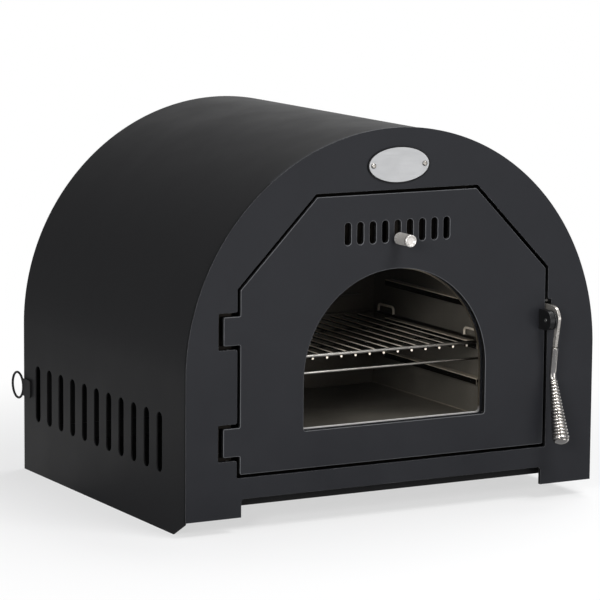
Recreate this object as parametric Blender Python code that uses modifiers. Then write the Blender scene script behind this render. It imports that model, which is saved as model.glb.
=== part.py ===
"""Arched outdoor oven with a hinged glass door, a spring-grip latch, an air damper and a wire rack.

Metres, +Z up. The oven stands on its side skirts at z = 0 and faces -Y. The origin is on the
ground under the middle of the whole oven, from its grip to the ring behind it.
"""

import math

import bmesh
import bpy
from mathutils import Matrix, Vector

# Clearances shared by every piece
seat = 0.0003
overrun = 0.006
merge = 0.00001

# Casing
width = 0.600
depth = 0.490
casing_back = 0.0065
plate_head = 0.083
plate_thickness = 0.005
skirt_drop = 0.021
sheet = 0.002
plate_lip = 0.0015
foot_width = 0.078
foot_notch_height = 0.0235
foot_notch_radius = 0.004
left_toe_length = 0.036
right_toe_length = 0.215
arch_steps = 56

# Side vents
vent_count = 11
vent_width = 0.0155
vent_bottom = 0.0725
vent_top = 0.1490
vent_behind_front = 0.0760
vent_before_rear = 0.0460

# Pan under the chamber
pan_level = 0.032
pan_sheet = 0.0015
pan_behind_front = 0.018
pan_before_rear = 0.007

# Door and its opening
door_beside = 0.076
door_sill = 0.0545
door_side_height = 0.2325
door_head = 0.034
door_crown_half = 0.1165
door_gap = 0.004
door_corner = 0.002

# Hinges
pin_beside = 0.014
pin_depth = 0.0085
pin_radius = 0.0018
pin_clearance = 0.0003
pin_end = 0.0030
knuckle_radius = 0.0032
tab_reach = 0.021
lower_tab_rise = 0.0415
upper_tab_drop = 0.0505
tab_height = 0.036
notch_reach = 0.024
notch_height = 0.047
ear_thickness = 0.0046
ear_radius = 0.0048
bracket_ear_reach = 0.013
bracket_plate = 0.003

# Window
window_beside = 0.090
window_sill = 0.0475
window_side_height = 0.0645
window_corner = 0.004
glass_margin = 0.011
glass_thickness = 0.004
gasket_thickness = 0.0015
frame_margin = 0.021
frame_land = 0.0004
frame_thickness = 0.002
boss_radius = 0.0035
boss_inset = 0.005
window_steps = 32

# Front vents and damper
slot_count = 9
slot_pitch = 0.0181
slot_width = 0.009
slot_over_window = 0.0335
slot_height = 0.029
damper_margin = 0.008
damper_rise = 0.012
damper_drop = 0.020
damper_thickness = 0.0015
stem_radius = 0.003
stem_rise = 0.0055
guide_width = 0.010
guide_lip = 0.004
guide_thickness = 0.0015

# Knob on the damper
knob_radius = 0.0078
knob_length = 0.030
knob_standoff = 0.004
knob_groove = 0.0012
knob_groove_from_face = 0.004
knob_dish = 0.0014
knob_bevel = 0.0008

# Latch, all about its pivot
pivot_out = 0.017
pivot_rise = 0.1665
block_inset = 0.0092
block_thickness = 0.0073
block_height = 0.026
block_reach = 0.028
spacer_thickness = 0.0027
spacer_radius = 0.0125
washer_thickness = 0.0010
washer_radius = 0.0085
lever_thickness = 0.0042
lever_head = 0.0115
arm_width = 0.0052
arm_drop = 0.0360
arm_shift = 0.0075
bolt_radius = 0.0025
bolt_head_radius = 0.0034
bolt_head = 0.0012
tongue_reach = 0.034
tongue_top = 0.0183
tongue_bottom = 0.0080
tongue_root = 0.0040
latch_notch_reach = 0.0100
latch_notch_down = 0.0125
latch_notch_up = 0.0270

# Keeper that the tongue closes under
keeper_rise = 0.0222
keeper_depth = 0.010
keeper_pin_radius = 0.0025
keeper_plate = 0.003
keeper_width = 0.024
keeper_height = 0.028
keeper_ear = 0.003
keeper_ear_depth = 0.012

# Sleeve and coil grip
sleeve_radius = 0.0045
sleeve_drop = 0.0367
sleeve_shift = 0.0045
sleeve_neck = 0.0060
grip_tilt = math.radians(15.5)
wire_radius = 0.00185
coil_pitch = 0.0043
coil_turns = 15.5
coil_points = 10
coil_top_radius = 0.0036
coil_bottom_radius = 0.0096
coil_lead = 0.0019
core_clearance = 0.0004
cap_radius = 0.0108
cap_height = 0.0075

# Badge
badge_half_width = 0.0455
badge_half_height = 0.0233
badge_thickness = 0.0015
badge_drop = 0.047
badge_screw_x = 0.0375
badge_screw_radius = 0.0030
badge_screw_height = 0.0012

# Surround, chamber face and liner
surround_beside = 0.044
surround_below = 0.0175
surround_above = 0.022
shoulder_clearance = 0.0122
crown_clearance = 0.0170
surround_depth = 0.0207
surround_sheet = 0.0015
liner_beside = 0.0210
liner_below = 0.012
liner_above = 0.0185
liner_length = 0.2966
liner_sheet = 0.001
sill_height = 0.0095
blanket = 0.021
support_width = 0.030
support_inset = 0.0250
support_sheet = 0.002
support_front = 0.0316
support_rear = 0.0250

# Rails and heat shield inside the chamber
rail_rises = (0.0515, 0.0985, 0.1510)
rail_width = 0.012
rail_lip = 0.008
rail_sheet = 0.0012
rail_behind_front = 0.0076
rail_before_rear = 0.0515
shield_beside = 0.0220
shield_height = 0.125
shield_offset = 0.006
shield_sheet = 0.0012

# Wire rack
rack_beside = 0.0032
rack_behind_front = 0.0036
rack_before_shield = 0.0014
rim_radius = 0.0023
rim_corner = 0.0035
bar_count = 13
bar_inset = 0.0270
bar_radius = 0.00165
bar_drop = 0.0034
cross_inset = 0.0238
cross_front = 0.088
cross_rear = 0.090
cross_drop = 0.0028
fence_drop = 0.0215
loop_height = 0.0115
loop_length = 0.040
loop_inset = 0.0060
loop_bend = 0.005

# Tie ring at the rear corner
ring_radius = 0.0175
ring_wire = 0.0016
ring_z = 0.114
ring_steps = 32
ring_centre_back = 0.0160
lug_height = 0.024
lug_length = 0.024
lug_thickness = 0.0024

# Places that follow from the sizes above
front = casing_back - depth / 2
rear = casing_back + depth / 2
plate_back = front + plate_thickness
arch_radius = width / 2
door_half = arch_radius - door_beside
door_bottom = skirt_drop + door_sill
door_shoulder = door_bottom + door_side_height
window_half = door_half - window_beside
window_bottom = door_bottom + window_sill
window_spring = window_bottom + window_side_height
window_top = window_spring + window_half
slot_bottom = window_top + slot_over_window
slot_top = slot_bottom + slot_height
door_top = slot_top + door_head
plate_top = door_top + plate_head
spring = plate_top - arch_radius
wrap_radius = arch_radius - plate_lip
wrap_inner = wrap_radius - sheet
badge_z = plate_top - badge_drop
stem_height = slot_bottom + stem_rise
pin_x = door_half + pin_beside
tab_heights = (door_bottom + lower_tab_rise, door_shoulder - upper_tab_drop)
pivot_y = front - pivot_out
pivot_z = door_bottom + pivot_rise
block_left = door_half - block_inset
block_right = block_left + block_thickness
spacer_left = block_right + seat
spacer_right = spacer_left + spacer_thickness
washer_left = spacer_right + seat
washer_right = washer_left + washer_thickness
lever_left = washer_right + seat
lever_right = lever_left + lever_thickness
lever_x = lever_left + lever_thickness / 2
hinge_axis = (-pin_x, front + pin_depth)
surround_half = door_half + surround_beside
surround_bottom = door_bottom - surround_below
surround_top = door_top + surround_above
surround_shoulder = spring + math.sqrt((wrap_inner - shoulder_clearance) ** 2 - surround_half**2)
surround_crown_half = math.sqrt((wrap_inner - crown_clearance) ** 2 - (surround_top - spring) ** 2)
bracket_inner = pin_x + bracket_ear_reach
bracket_outer = surround_half - surround_sheet - seat
face_front = plate_back + seat + surround_depth + seat
slots_half = (slot_count - 1) / 2 * slot_pitch + slot_width / 2
liner_half = window_half + liner_beside
liner_floor = window_bottom - liner_below
liner_top = window_top + liner_above
liner_near = face_front + surround_sheet + 2 * seat
liner_far = liner_near + liner_length
shield_near = liner_far - seat - shield_offset
shield_half = liner_half - shield_beside
support_half = liner_half - support_inset
rail_heights = tuple(liner_floor + rise for rise in rail_rises)
rack_half = liner_half - rack_beside
rack_near = liner_near + rack_behind_front
rack_far = shield_near - rack_before_shield - rim_radius
bar_pitch = 2 * (rack_half - bar_inset) / (bar_count - 1)


def empty_scene():
    """Remove whatever the opened scene holds."""
    for obj in list(bpy.data.objects):
        bpy.data.objects.remove(obj, do_unlink=True)


def new_collection(name):
    """A collection linked to the scene."""
    collection = bpy.data.collections.new(name)
    bpy.context.scene.collection.children.link(collection)
    return collection


def material(name, colour, roughness, metallic, alpha=1.0):
    """A Principled material."""
    made = bpy.data.materials.new(name)
    made.use_nodes = True
    shader = made.node_tree.nodes["Principled BSDF"]
    shader.inputs["Base Color"].default_value = (*colour, 1.0)
    shader.inputs["Roughness"].default_value = roughness
    shader.inputs["Metallic"].default_value = metallic
    shader.inputs["Alpha"].default_value = alpha
    return made


empty_scene()
oven = new_collection("outdoor_pizza_oven")
cutters = new_collection("cutters")
cutters.hide_render = True

black_coat = (0.028, 0.029, 0.031)
side_coat = (0.020, 0.020, 0.020)
steel = (0.62, 0.61, 0.59)


# Outlines. Each is a list of (across, up) points.


def arc(centre, radius, start, end, steps):
    """Points on an arc, both ends included, angles in degrees."""
    points = []
    for i in range(steps + 1):
        angle = math.radians(start + (end - start) * i / steps)
        points.append((centre[0] + radius * math.cos(angle), centre[1] + radius * math.sin(angle)))
    return points


def circle(centre, radius, steps=24):
    """A closed circle."""
    return arc(centre, radius, 0, 360, steps)[:-1]


def oval(centre, half_width, half_height, steps=48):
    """A closed ellipse."""
    points = []
    for i in range(steps):
        angle = 2 * math.pi * i / steps
        points.append((centre[0] + half_width * math.cos(angle), centre[1] + half_height * math.sin(angle)))
    return points


def rectangle(left, bottom, right, top):
    """A closed rectangle."""
    return [(left, bottom), (right, bottom), (right, top), (left, top)]


def capsule(across, bottom, top, slot, steps=8):
    """An upright slot with round ends."""
    radius = slot / 2
    lower = arc((across, bottom + radius), radius, 180, 360, steps)
    upper = arc((across, top - radius), radius, 0, 180, steps)
    return lower + upper


def rounded(corners, radius, steps=4):
    """The closed polygon of these corners with each corner turned to an arc."""
    points = []
    for i, corner in enumerate(corners):
        here = Vector(corner)
        before = (Vector(corners[i - 1]) - here).normalized()
        after = (Vector(corners[(i + 1) % len(corners)]) - here).normalized()
        half_turn = math.acos(max(-1, min(1, before.dot(after)))) / 2
        reach = radius / math.tan(half_turn)
        middle = (before + after).normalized()
        centre = here + middle * (radius / math.sin(half_turn))
        first = here + before * reach - centre
        last = here + after * reach - centre
        sweep = first.angle_signed(last)
        for k in range(steps + 1):
            turn = Matrix.Rotation(-sweep * k / steps, 2)
            points.append(tuple(centre + turn @ first))
    return points


def grown(corners, by):
    """The corners of an anticlockwise polygon moved outward by one distance on every side."""
    moved = []
    for i, corner in enumerate(corners):
        here = Vector(corner)
        before = (here - Vector(corners[i - 1])).normalized()
        after = (Vector(corners[(i + 1) % len(corners)]) - here).normalized()
        out_before = Vector((before.y, -before.x))
        out_after = Vector((after.y, -after.x))
        middle = (out_before + out_after).normalized()
        moved.append(tuple(here + middle * (by / middle.dot(out_before))))
    return moved


def arch(half, bottom, spring_level, steps):
    """A round-topped outline with square lower corners."""
    return [(-half, bottom), (half, bottom)] + arc((0, spring_level), half, 0, 180, steps)


def window_outline(margin):
    """The window's arch moved outward by a margin, its lower corners rounded."""
    half = window_half + margin
    bottom = window_bottom - margin
    lower = rounded(
        [(-half, window_spring), (-half, bottom), (half, bottom), (half, window_spring)],
        window_corner,
    )
    count = len(lower) // 4
    top = arc((0, window_spring), half, 0, 180, window_steps)
    return lower[count : 3 * count] + top


def chamfered(half, bottom, shoulder, top, crown_half):
    """A panel outline whose upper corners are cut off."""
    return [
        (-half, bottom),
        (half, bottom),
        (half, shoulder),
        (crown_half, top),
        (-crown_half, top),
        (-half, shoulder),
    ]


# Objects


def link(obj, made_of, parent=None):
    """Put an object in the oven, give it its material and hang it on its joint's empty."""
    oven.objects.link(obj)
    obj.data.materials.append(made_of)
    if parent is not None:
        obj.parent = parent
        obj.matrix_parent_inverse = parent_matrix(parent).inverted()
    return obj


def parent_matrix(empty):
    """World matrix of an empty that may hang on another."""
    matrix = empty.matrix_basis
    if empty.parent is not None:
        return parent_matrix(empty.parent) @ empty.matrix_parent_inverse @ matrix
    return matrix


def joint_empty(name, place, parent=None):
    """An empty on a joint's axis."""
    empty = bpy.data.objects.new(name, None)
    empty.empty_display_size = knob_length
    empty.location = place
    oven.objects.link(empty)
    if parent is not None:
        empty.parent = parent
        empty.matrix_parent_inverse = parent_matrix(parent).inverted()
    return empty


def outline_curve(name, outlines, thickness, closed=True):
    """A flat 2D curve, extruded half its thickness each way."""
    curve = bpy.data.curves.new(name, "CURVE")
    curve.dimensions = "2D"
    curve.fill_mode = "BOTH" if closed else "NONE"
    curve.extrude = thickness / 2
    for outline in outlines:
        spline = curve.splines.new("POLY")
        spline.points.add(len(outline) - 1)
        for point, place in zip(spline.points, outline):
            point.co = (place[0], place[1], 0, 1)
        spline.use_cyclic_u = closed
    return bpy.data.objects.new(name, curve)


def upright(name, outlines, thickness, face):
    """A plate that stands across the oven. Its front face is at this Y."""
    obj = outline_curve(name, outlines, thickness)
    obj.rotation_euler = (math.pi / 2, 0, 0)
    obj.location = (0, face + thickness / 2, 0)
    return obj


def sideways(name, outlines, thickness, left):
    """A plate that stands front to back. Its outline is (Y, Z) and its left face is at this X."""
    obj = outline_curve(name, outlines, thickness)
    obj.rotation_euler = (math.pi / 2, 0, math.pi / 2)
    obj.location = (left + thickness / 2, 0, 0)
    return obj


def level(name, outlines, thickness, bottom):
    """A plate that lies flat. Its outline is (X, Y)."""
    obj = outline_curve(name, outlines, thickness)
    obj.location = (0, 0, bottom + thickness / 2)
    return obj


def meshed(obj):
    """The object as a mesh with its caps welded, so that it can be cut or joined."""
    oven.objects.link(obj)
    bpy.context.view_layer.update()
    graph = bpy.context.evaluated_depsgraph_get()
    mesh = bpy.data.meshes.new_from_object(obj.evaluated_get(graph))
    welder = bmesh.new()
    welder.from_mesh(mesh)
    bmesh.ops.remove_doubles(welder, verts=welder.verts, dist=merge)
    bmesh.ops.recalc_face_normals(welder, faces=welder.faces)
    welder.to_mesh(mesh)
    welder.free()
    name = obj.name
    matrix = obj.matrix_world.copy()
    bpy.data.objects.remove(obj, do_unlink=True)
    solid = bpy.data.objects.new(name, mesh)
    solid.matrix_world = matrix
    return solid


def box(name, low, high):
    """A box between two corners."""
    mesh = bpy.data.meshes.new(name)
    maker = bmesh.new()
    bmesh.ops.create_cube(maker, size=1)
    size = Vector(high) - Vector(low)
    bmesh.ops.scale(maker, vec=size, verts=maker.verts)
    bmesh.ops.translate(maker, vec=(Vector(low) + Vector(high)) / 2, verts=maker.verts)
    maker.to_mesh(mesh)
    maker.free()
    return bpy.data.objects.new(name, mesh)


def open_tray(name, low, high, thickness, open_side):
    """A sheet box without one face, thickened inward. open_side is the missing face's normal."""
    obj = box(name, low, high)
    maker = bmesh.new()
    maker.from_mesh(obj.data)
    maker.normal_update()
    gone = [face for face in maker.faces if face.normal.dot(Vector(open_side)) > 0.9]
    bmesh.ops.delete(maker, geom=gone, context="FACES_ONLY")
    maker.to_mesh(obj.data)
    maker.free()
    shell = obj.modifiers.new("Sheet", "SOLIDIFY")
    shell.thickness = thickness
    shell.offset = -1
    shell.use_even_offset = True
    return obj


def rod(name, start, end, radius, steps=20):
    """A round bar between two points."""
    mesh = bpy.data.meshes.new(name)
    maker = bmesh.new()
    along = Vector(end) - Vector(start)
    bmesh.ops.create_cone(
        maker,
        cap_ends=True,
        segments=steps,
        radius1=radius,
        radius2=radius,
        depth=along.length,
    )
    maker.to_mesh(mesh)
    maker.free()
    obj = bpy.data.objects.new(name, mesh)
    obj.rotation_mode = "QUATERNION"
    obj.rotation_quaternion = Vector((0, 0, 1)).rotation_difference(along)
    obj.location = (Vector(start) + Vector(end)) / 2
    smooth(mesh)
    return obj


def smooth(mesh):
    """Shade the round sides smooth and leave the square edges sharp."""
    mesh.shade_smooth()
    mesh.set_sharp_from_angle(angle=math.radians(40))


def turned(name, profile, steps=32):
    """A shape turned about its own Z. The profile holds (radius, height), from the top down."""
    mesh = bpy.data.meshes.new(name)
    edges = [(i, i + 1) for i in range(len(profile) - 1)]
    mesh.from_pydata([(radius, 0, height) for radius, height in profile], edges, [])
    obj = bpy.data.objects.new(name, mesh)
    screw = obj.modifiers.new("Turn", "SCREW")
    screw.steps = steps
    screw.render_steps = steps
    screw.use_merge_vertices = True
    screw.merge_threshold = merge
    screw.use_smooth_shade = True
    return obj


def tube(name, points, radius, resolution=2, cyclic=False):
    """A wire along these points."""
    curve = bpy.data.curves.new(name, "CURVE")
    curve.dimensions = "3D"
    curve.bevel_depth = radius
    curve.bevel_resolution = resolution
    curve.use_fill_caps = not cyclic
    spline = curve.splines.new("POLY")
    spline.points.add(len(points) - 1)
    for point, place in zip(spline.points, points):
        point.co = (*place, 1)
    spline.use_cyclic_u = cyclic
    spline.use_smooth = True
    return bpy.data.objects.new(name, curve)


def as_cutter(obj):
    """Keep an object as a tool for a Boolean."""
    cutters.objects.link(obj)
    obj.hide_render = True
    obj.display_type = "WIRE"
    return obj


def cut(target, tool):
    """Cut a tool's shape out of a mesh."""
    modifier = target.modifiers.new("Cut " + tool.name, "BOOLEAN")
    modifier.operation = "DIFFERENCE"
    modifier.solver = "EXACT"
    modifier.object = tool


def join(target, tool):
    """Add a tool's shape to a mesh as one body."""
    modifier = target.modifiers.new("Join " + tool.name, "BOOLEAN")
    modifier.operation = "UNION"
    modifier.solver = "EXACT"
    modifier.object = tool


# Casing


def door_corners():
    """The door's plain outline, without its hinge tabs."""
    return chamfered(door_half, door_bottom, door_shoulder, door_top, door_crown_half)


def opening_outline():
    """The hole in the front plate: the door grown by its gap, with the hinge and latch notches."""
    corners = grown(door_corners(), door_gap)
    left = corners[0][0]
    right = corners[1][0]
    outline = [corners[0], corners[1]]
    outline.append((right, pivot_z - latch_notch_down))
    outline.append((right + latch_notch_reach, pivot_z - latch_notch_down))
    outline.append((right + latch_notch_reach, pivot_z + latch_notch_up))
    outline.append((right, pivot_z + latch_notch_up))
    outline += corners[2:]
    for middle in reversed(tab_heights):
        outline.append((left, middle + notch_height / 2))
        outline.append((left - notch_reach, middle + notch_height / 2))
        outline.append((left - notch_reach, middle - notch_height / 2))
        outline.append((left, middle - notch_height / 2))
    return rounded(outline, door_corner, 3)


def front_outline():
    """The arched front plate with its two feet."""
    notch_half = arch_radius - foot_width
    notch_top = skirt_drop + foot_notch_height
    notch = rounded(
        [
            (-notch_half, skirt_drop),
            (-notch_half, notch_top),
            (notch_half, notch_top),
            (notch_half, skirt_drop),
        ],
        foot_notch_radius,
    )
    count = len(notch) // 4
    feet = [(-arch_radius, skirt_drop), (-notch_half, skirt_drop)]
    feet += notch[count : 3 * count]
    feet += [(notch_half, skirt_drop), (arch_radius, skirt_drop)]
    return feet + arc((0, spring), arch_radius, 0, 180, arch_steps)


def make_front_plate():
    """The flat arched front that frames the door."""
    plate = upright("front_plate", [front_outline(), opening_outline()], plate_thickness, front)
    link(plate, material("front_plate_coat", black_coat, 0.45, 0.2))


def make_casing_wrap():
    """The bent sheet over both sides and the top, with its side vents."""
    length = depth - plate_thickness - seat
    path = [(wrap_radius, 0)] + arc((0, spring), wrap_radius, 0, 180, arch_steps) + [(-wrap_radius, 0)]
    sheet_curve = outline_curve("casing_wrap", [path], length, closed=False)
    sheet_curve.rotation_euler = (math.pi / 2, 0, 0)
    sheet_curve.location = (0, plate_back + seat + length / 2, 0)
    wrap = meshed(sheet_curve)
    shell = wrap.modifiers.new("Sheet", "SOLIDIFY")
    shell.thickness = sheet
    shell.offset = -1
    shell.use_even_offset = True
    link(wrap, material("casing_coat", side_coat, 0.5, 0.2))
    cut(wrap, side_vent_tool())
    cut(wrap, toe_tool("left_toe_tool", -1, left_toe_length))
    cut(wrap, toe_tool("right_toe_tool", 1, right_toe_length))
    smooth(wrap.data)


def side_vent_tool():
    """Eleven slots through both sides."""
    pitch = (depth - vent_behind_front - vent_before_rear) / (vent_count - 1)
    slots = []
    for i in range(vent_count):
        across = front + vent_behind_front + i * pitch
        slots.append(capsule(across, vent_bottom, vent_top, vent_width))
    reach = wrap_radius + overrun
    return as_cutter(meshed(sideways("side_vent_tool", slots, 2 * reach, -reach)))


def toe_tool(name, side, toe_length):
    """The slanted cut under the front end of one skirt."""
    start = front - overrun
    slope = skirt_drop / (toe_length + plate_thickness)
    low = -overrun
    outline = [
        (start, low),
        (front + toe_length + overrun / slope, low),
        (start, skirt_drop + slope * overrun),
    ]
    left = -wrap_radius - overrun if side < 0 else 0
    return as_cutter(meshed(sideways(name, [outline], wrap_radius + overrun, left)))


def make_rear_panel():
    """The arched panel that closes the back, inside the wrap."""
    radius = wrap_inner - seat
    outline = arch(radius, skirt_drop, spring, arch_steps)
    panel = upright("rear_panel", [outline], sheet, rear - sheet)
    link(panel, material("rear_panel_coat", side_coat, 0.5, 0.2))


def make_base_pan():
    """The folded tray across the bottom. Its front flange shows between the feet."""
    half = wrap_inner - seat
    pan = open_tray(
        "base_pan",
        (-half, front + pan_behind_front, pan_level),
        (half, rear - pan_before_rear, surround_bottom - seat),
        pan_sheet,
        (0, 0, 1),
    )
    link(pan, material("base_pan_coat", side_coat, 0.55, 0.2))


def make_badge():
    """The bare oval plate over the door and its two screws."""
    face = front - seat - badge_thickness
    plate = upright("badge_plate", [oval((0, badge_z), badge_half_width, badge_half_height)], badge_thickness, face)
    link(plate, material("badge_aluminium", (0.66, 0.66, 0.65), 0.35, 1.0))
    for side, word in ((-1, "left"), (1, "right")):
        across = side * badge_screw_x
        near = face - seat
        screw = rod(
            "badge_screw_" + word,
            (across, near - badge_screw_height, badge_z),
            (across, near, badge_z),
            badge_screw_radius,
        )
        link(screw, material("badge_screw_steel_" + word, steel, 0.25, 1.0))


def make_tie_ring():
    """The wire ring at the rear left corner, welded to its lug."""
    plane = -wrap_radius - seat - lug_thickness / 2
    middle = rear + ring_centre_back
    points = []
    for i in range(ring_steps):
        angle = 2 * math.pi * i / ring_steps
        points.append((plane, middle + ring_radius * math.cos(angle), ring_z + ring_radius * math.sin(angle)))
    ring = meshed(tube("tie_ring", points, ring_wire, 2, cyclic=True))
    ring.location.x -= ring_wire - lug_thickness / 2
    lug_rear = middle - ring_radius + ring_wire / 2
    lug = box(
        "ring_lug_tool",
        (plane - lug_thickness / 2, lug_rear - lug_length, ring_z - lug_height / 2),
        (plane + lug_thickness / 2, lug_rear, ring_z + lug_height / 2),
    )
    link(ring, material("tie_ring_coat", side_coat, 0.5, 0.2))
    join(ring, as_cutter(lug))
    smooth(ring.data)


# Hinges


def hinge_bracket(name, middle):
    """A bracket behind the plate with two ears that carry the pin, and the pin's holes."""
    axis_y = hinge_axis[1]
    near = plate_back + seat
    meets = math.degrees(math.asin((near - axis_y) / ear_radius))
    outline = [(-bracket_outer, near)] + arc((-pin_x, axis_y), ear_radius, meets, 90, 12)
    outline += [(-bracket_inner, axis_y + ear_radius), (-bracket_inner, near + bracket_plate)]
    outline += [(-bracket_outer, near + bracket_plate)]
    bottom = middle - tab_height / 2 - seat - ear_thickness
    height = tab_height + 2 * (seat + ear_thickness)
    bracket = meshed(level(name, [outline], height, bottom))
    link(bracket, material(name + "_steel", (0.16, 0.16, 0.16), 0.5, 0.6))
    gap_tool = box(
        name + "_gap_tool",
        (-bracket_inner - seat, near - overrun, middle - tab_height / 2 - seat),
        (0, front + pin_depth + 3 * ear_radius, middle + tab_height / 2 + seat),
    )
    cut(bracket, as_cutter(gap_tool))
    reach = height / 2 + overrun
    bore = rod(
        name + "_bore_tool",
        (-pin_x, axis_y, middle - reach),
        (-pin_x, axis_y, middle + reach),
        pin_radius + pin_clearance,
    )
    cut(bracket, as_cutter(bore))


def make_hinges(door_axis):
    """Two hinges: brackets and pins stay with the casing, knuckles turn with the door."""
    for middle, word in zip(tab_heights, ("lower", "upper")):
        hinge_bracket("hinge_bracket_" + word, middle)
        place = (-pin_x, hinge_axis[1])
        reach = tab_height / 2 + seat + ear_thickness + pin_end
        pin = rod("hinge_pin_" + word, (*place, middle - reach), (*place, middle + reach), pin_radius)
        link(pin, material("hinge_pin_steel_" + word, steel, 0.3, 1.0))
        ring = [circle(place, knuckle_radius, 24), circle(place, pin_radius + pin_clearance, 24)]
        bottom = middle - tab_height / 2
        knuckle = level("hinge_knuckle_" + word, ring, tab_height, bottom)
        link(knuckle, material("knuckle_coat_" + word, black_coat, 0.45, 0.2), door_axis)


# Door


def door_outline():
    """The door with its two hinge tabs."""
    corners = door_corners()
    outline = list(corners)
    for middle in reversed(tab_heights):
        outline.append((-door_half, middle + tab_height / 2))
        outline.append((-door_half - tab_reach, middle + tab_height / 2))
        outline.append((-door_half - tab_reach, middle - tab_height / 2))
        outline.append((-door_half, middle - tab_height / 2))
    return rounded(outline, door_corner, 3)


def vent_slots(rise=0.0):
    """Outlines of the nine front vents."""
    slots = []
    for i in range(slot_count):
        across = (i - (slot_count - 1) / 2) * slot_pitch
        slots.append(capsule(across, slot_bottom + rise, slot_top + rise, slot_width))
    return slots


def make_door_panel(door_axis):
    """The door's face plate with its window and vents."""
    outlines = [door_outline(), window_outline(0.0)] + vent_slots()
    panel = upright("door_panel", outlines, plate_thickness, front)
    link(panel, material("door_coat", black_coat, 0.42, 0.2), door_axis)


def make_window(door_axis):
    """Gasket, glass and the frame that clamps them, with its bosses."""
    gasket_face = plate_back + seat
    gasket = upright(
        "glass_gasket",
        [window_outline(glass_margin), window_outline(frame_land)],
        gasket_thickness,
        gasket_face,
    )
    link(gasket, material("gasket_fibre", (0.05, 0.05, 0.05), 0.95, 0.0), door_axis)
    glass_face = gasket_face + gasket_thickness + seat
    glass = upright("window_glass", [window_outline(glass_margin)], glass_thickness, glass_face)
    link(glass, material("window_glass_clear", (0.9, 0.92, 0.92), 0.03, 0.0, 0.25), door_axis)
    frame_face = glass_face + glass_thickness + seat
    frame = meshed(
        upright(
            "glass_frame",
            [window_outline(frame_margin), window_outline(frame_land)],
            frame_thickness,
            frame_face,
        )
    )
    link(frame, material("glass_frame_steel", (0.20, 0.20, 0.20), 0.45, 0.7), door_axis)
    for i, place in enumerate(boss_places()):
        boss = rod(
            f"frame_boss_tool_{i}",
            (place[0], gasket_face, place[1]),
            (place[0], frame_face + frame_thickness / 2, place[1]),
            boss_radius,
            12,
        )
        join(frame, as_cutter(boss))


def boss_places():
    """Six screw bosses round the glass, between its edge and the frame's."""
    reach = window_half + frame_margin - boss_inset
    low = window_bottom - frame_margin + boss_inset
    places = [(-reach, window_spring), (reach, window_spring)]
    places += [(-window_half / 2, low), (window_half / 2, low)]
    for angle in (60, 120):
        places.append(arc((0, window_spring), reach, angle, angle, 1)[0])
    return places


def make_damper(door_axis):
    """The slotted slider behind the vents, its stem, its guides and the knob."""
    slide = joint_empty("damper_slide_axis", (0, plate_back, stem_height), door_axis)
    face = plate_back + seat
    half = slots_half + damper_margin
    bottom = slot_bottom - damper_drop
    top = slot_top + damper_rise
    vents = [slot for i, slot in enumerate(vent_slots()) if i != slot_count // 2]
    plate = meshed(
        upright("damper_plate", [rectangle(-half, bottom, half, top)] + vents, damper_thickness, face)
    )
    link(plate, material("damper_steel", (0.30, 0.30, 0.30), 0.45, 0.9), slide)
    stem_tip = front - knob_standoff - knob_length / 2
    stem = rod(
        "damper_stem_tool",
        (0, stem_tip, stem_height),
        (0, face + damper_thickness / 2, stem_height),
        stem_radius,
    )
    join(plate, as_cutter(stem))
    for side, word in ((-1, "left"), (1, "right")):
        make_guide(side, word, half, bottom, top, door_axis)
    make_knob(slide)


def make_guide(side, word, half, bottom, top, door_axis):
    """A folded strip on the door's back that holds one edge of the slider."""
    near = plate_back + seat
    far = near + damper_thickness + seat
    inner = half - guide_lip
    outer = half + seat
    outline = [
        (side * outer, near),
        (side * (outer + guide_width), near),
        (side * (outer + guide_width), near + guide_thickness),
        (side * (outer + guide_thickness), near + guide_thickness),
        (side * (outer + guide_thickness), far + guide_thickness),
        (side * inner, far + guide_thickness),
        (side * inner, far),
        (side * outer, far),
    ]
    if side < 0:
        outline.reverse()
    guide = level("damper_guide_" + word, [outline], top - bottom, bottom)
    link(guide, material("damper_guide_steel_" + word, (0.30, 0.30, 0.30), 0.5, 0.8), door_axis)


def make_knob(slide):
    """The round knob, bored for the stem, with a groove near its dished face."""
    turn = joint_empty("knob_turn_axis", (0, front - knob_standoff, stem_height), slide)
    bore = stem_radius + seat
    bore_end = knob_length / 2 + seat
    groove = knob_length - knob_groove_from_face
    inner = knob_radius - knob_groove
    profile = [
        (0, knob_length - knob_dish),
        (knob_radius - 2 * knob_bevel - knob_dish, knob_length - knob_dish),
        (knob_radius - 2 * knob_bevel, knob_length),
        (knob_radius - knob_bevel, knob_length),
        (knob_radius, knob_length - knob_bevel),
        (knob_radius, groove + knob_groove / 2),
        (inner, groove + knob_groove / 2),
        (inner, groove - knob_groove / 2),
        (knob_radius, groove - knob_groove / 2),
        (knob_radius, knob_bevel),
        (knob_radius - knob_bevel, 0),
        (bore, 0),
        (bore, bore_end),
        (0, bore_end),
    ]
    knob = turned("damper_knob", profile)
    knob.rotation_euler = (math.pi / 2, 0, 0)
    knob.location = (0, front - knob_standoff, stem_height)
    link(knob, material("knob_steel", steel, 0.28, 1.0), turn)


# Latch


def d_outline():
    """The latch block seen from the side: flat on the door, round in front."""
    radius = block_height / 2
    flat = front - seat
    middle = flat - block_reach + radius
    return [(flat, pivot_z - radius), (flat, pivot_z + radius)] + arc((middle, pivot_z), radius, 90, 270, 16)


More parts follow.
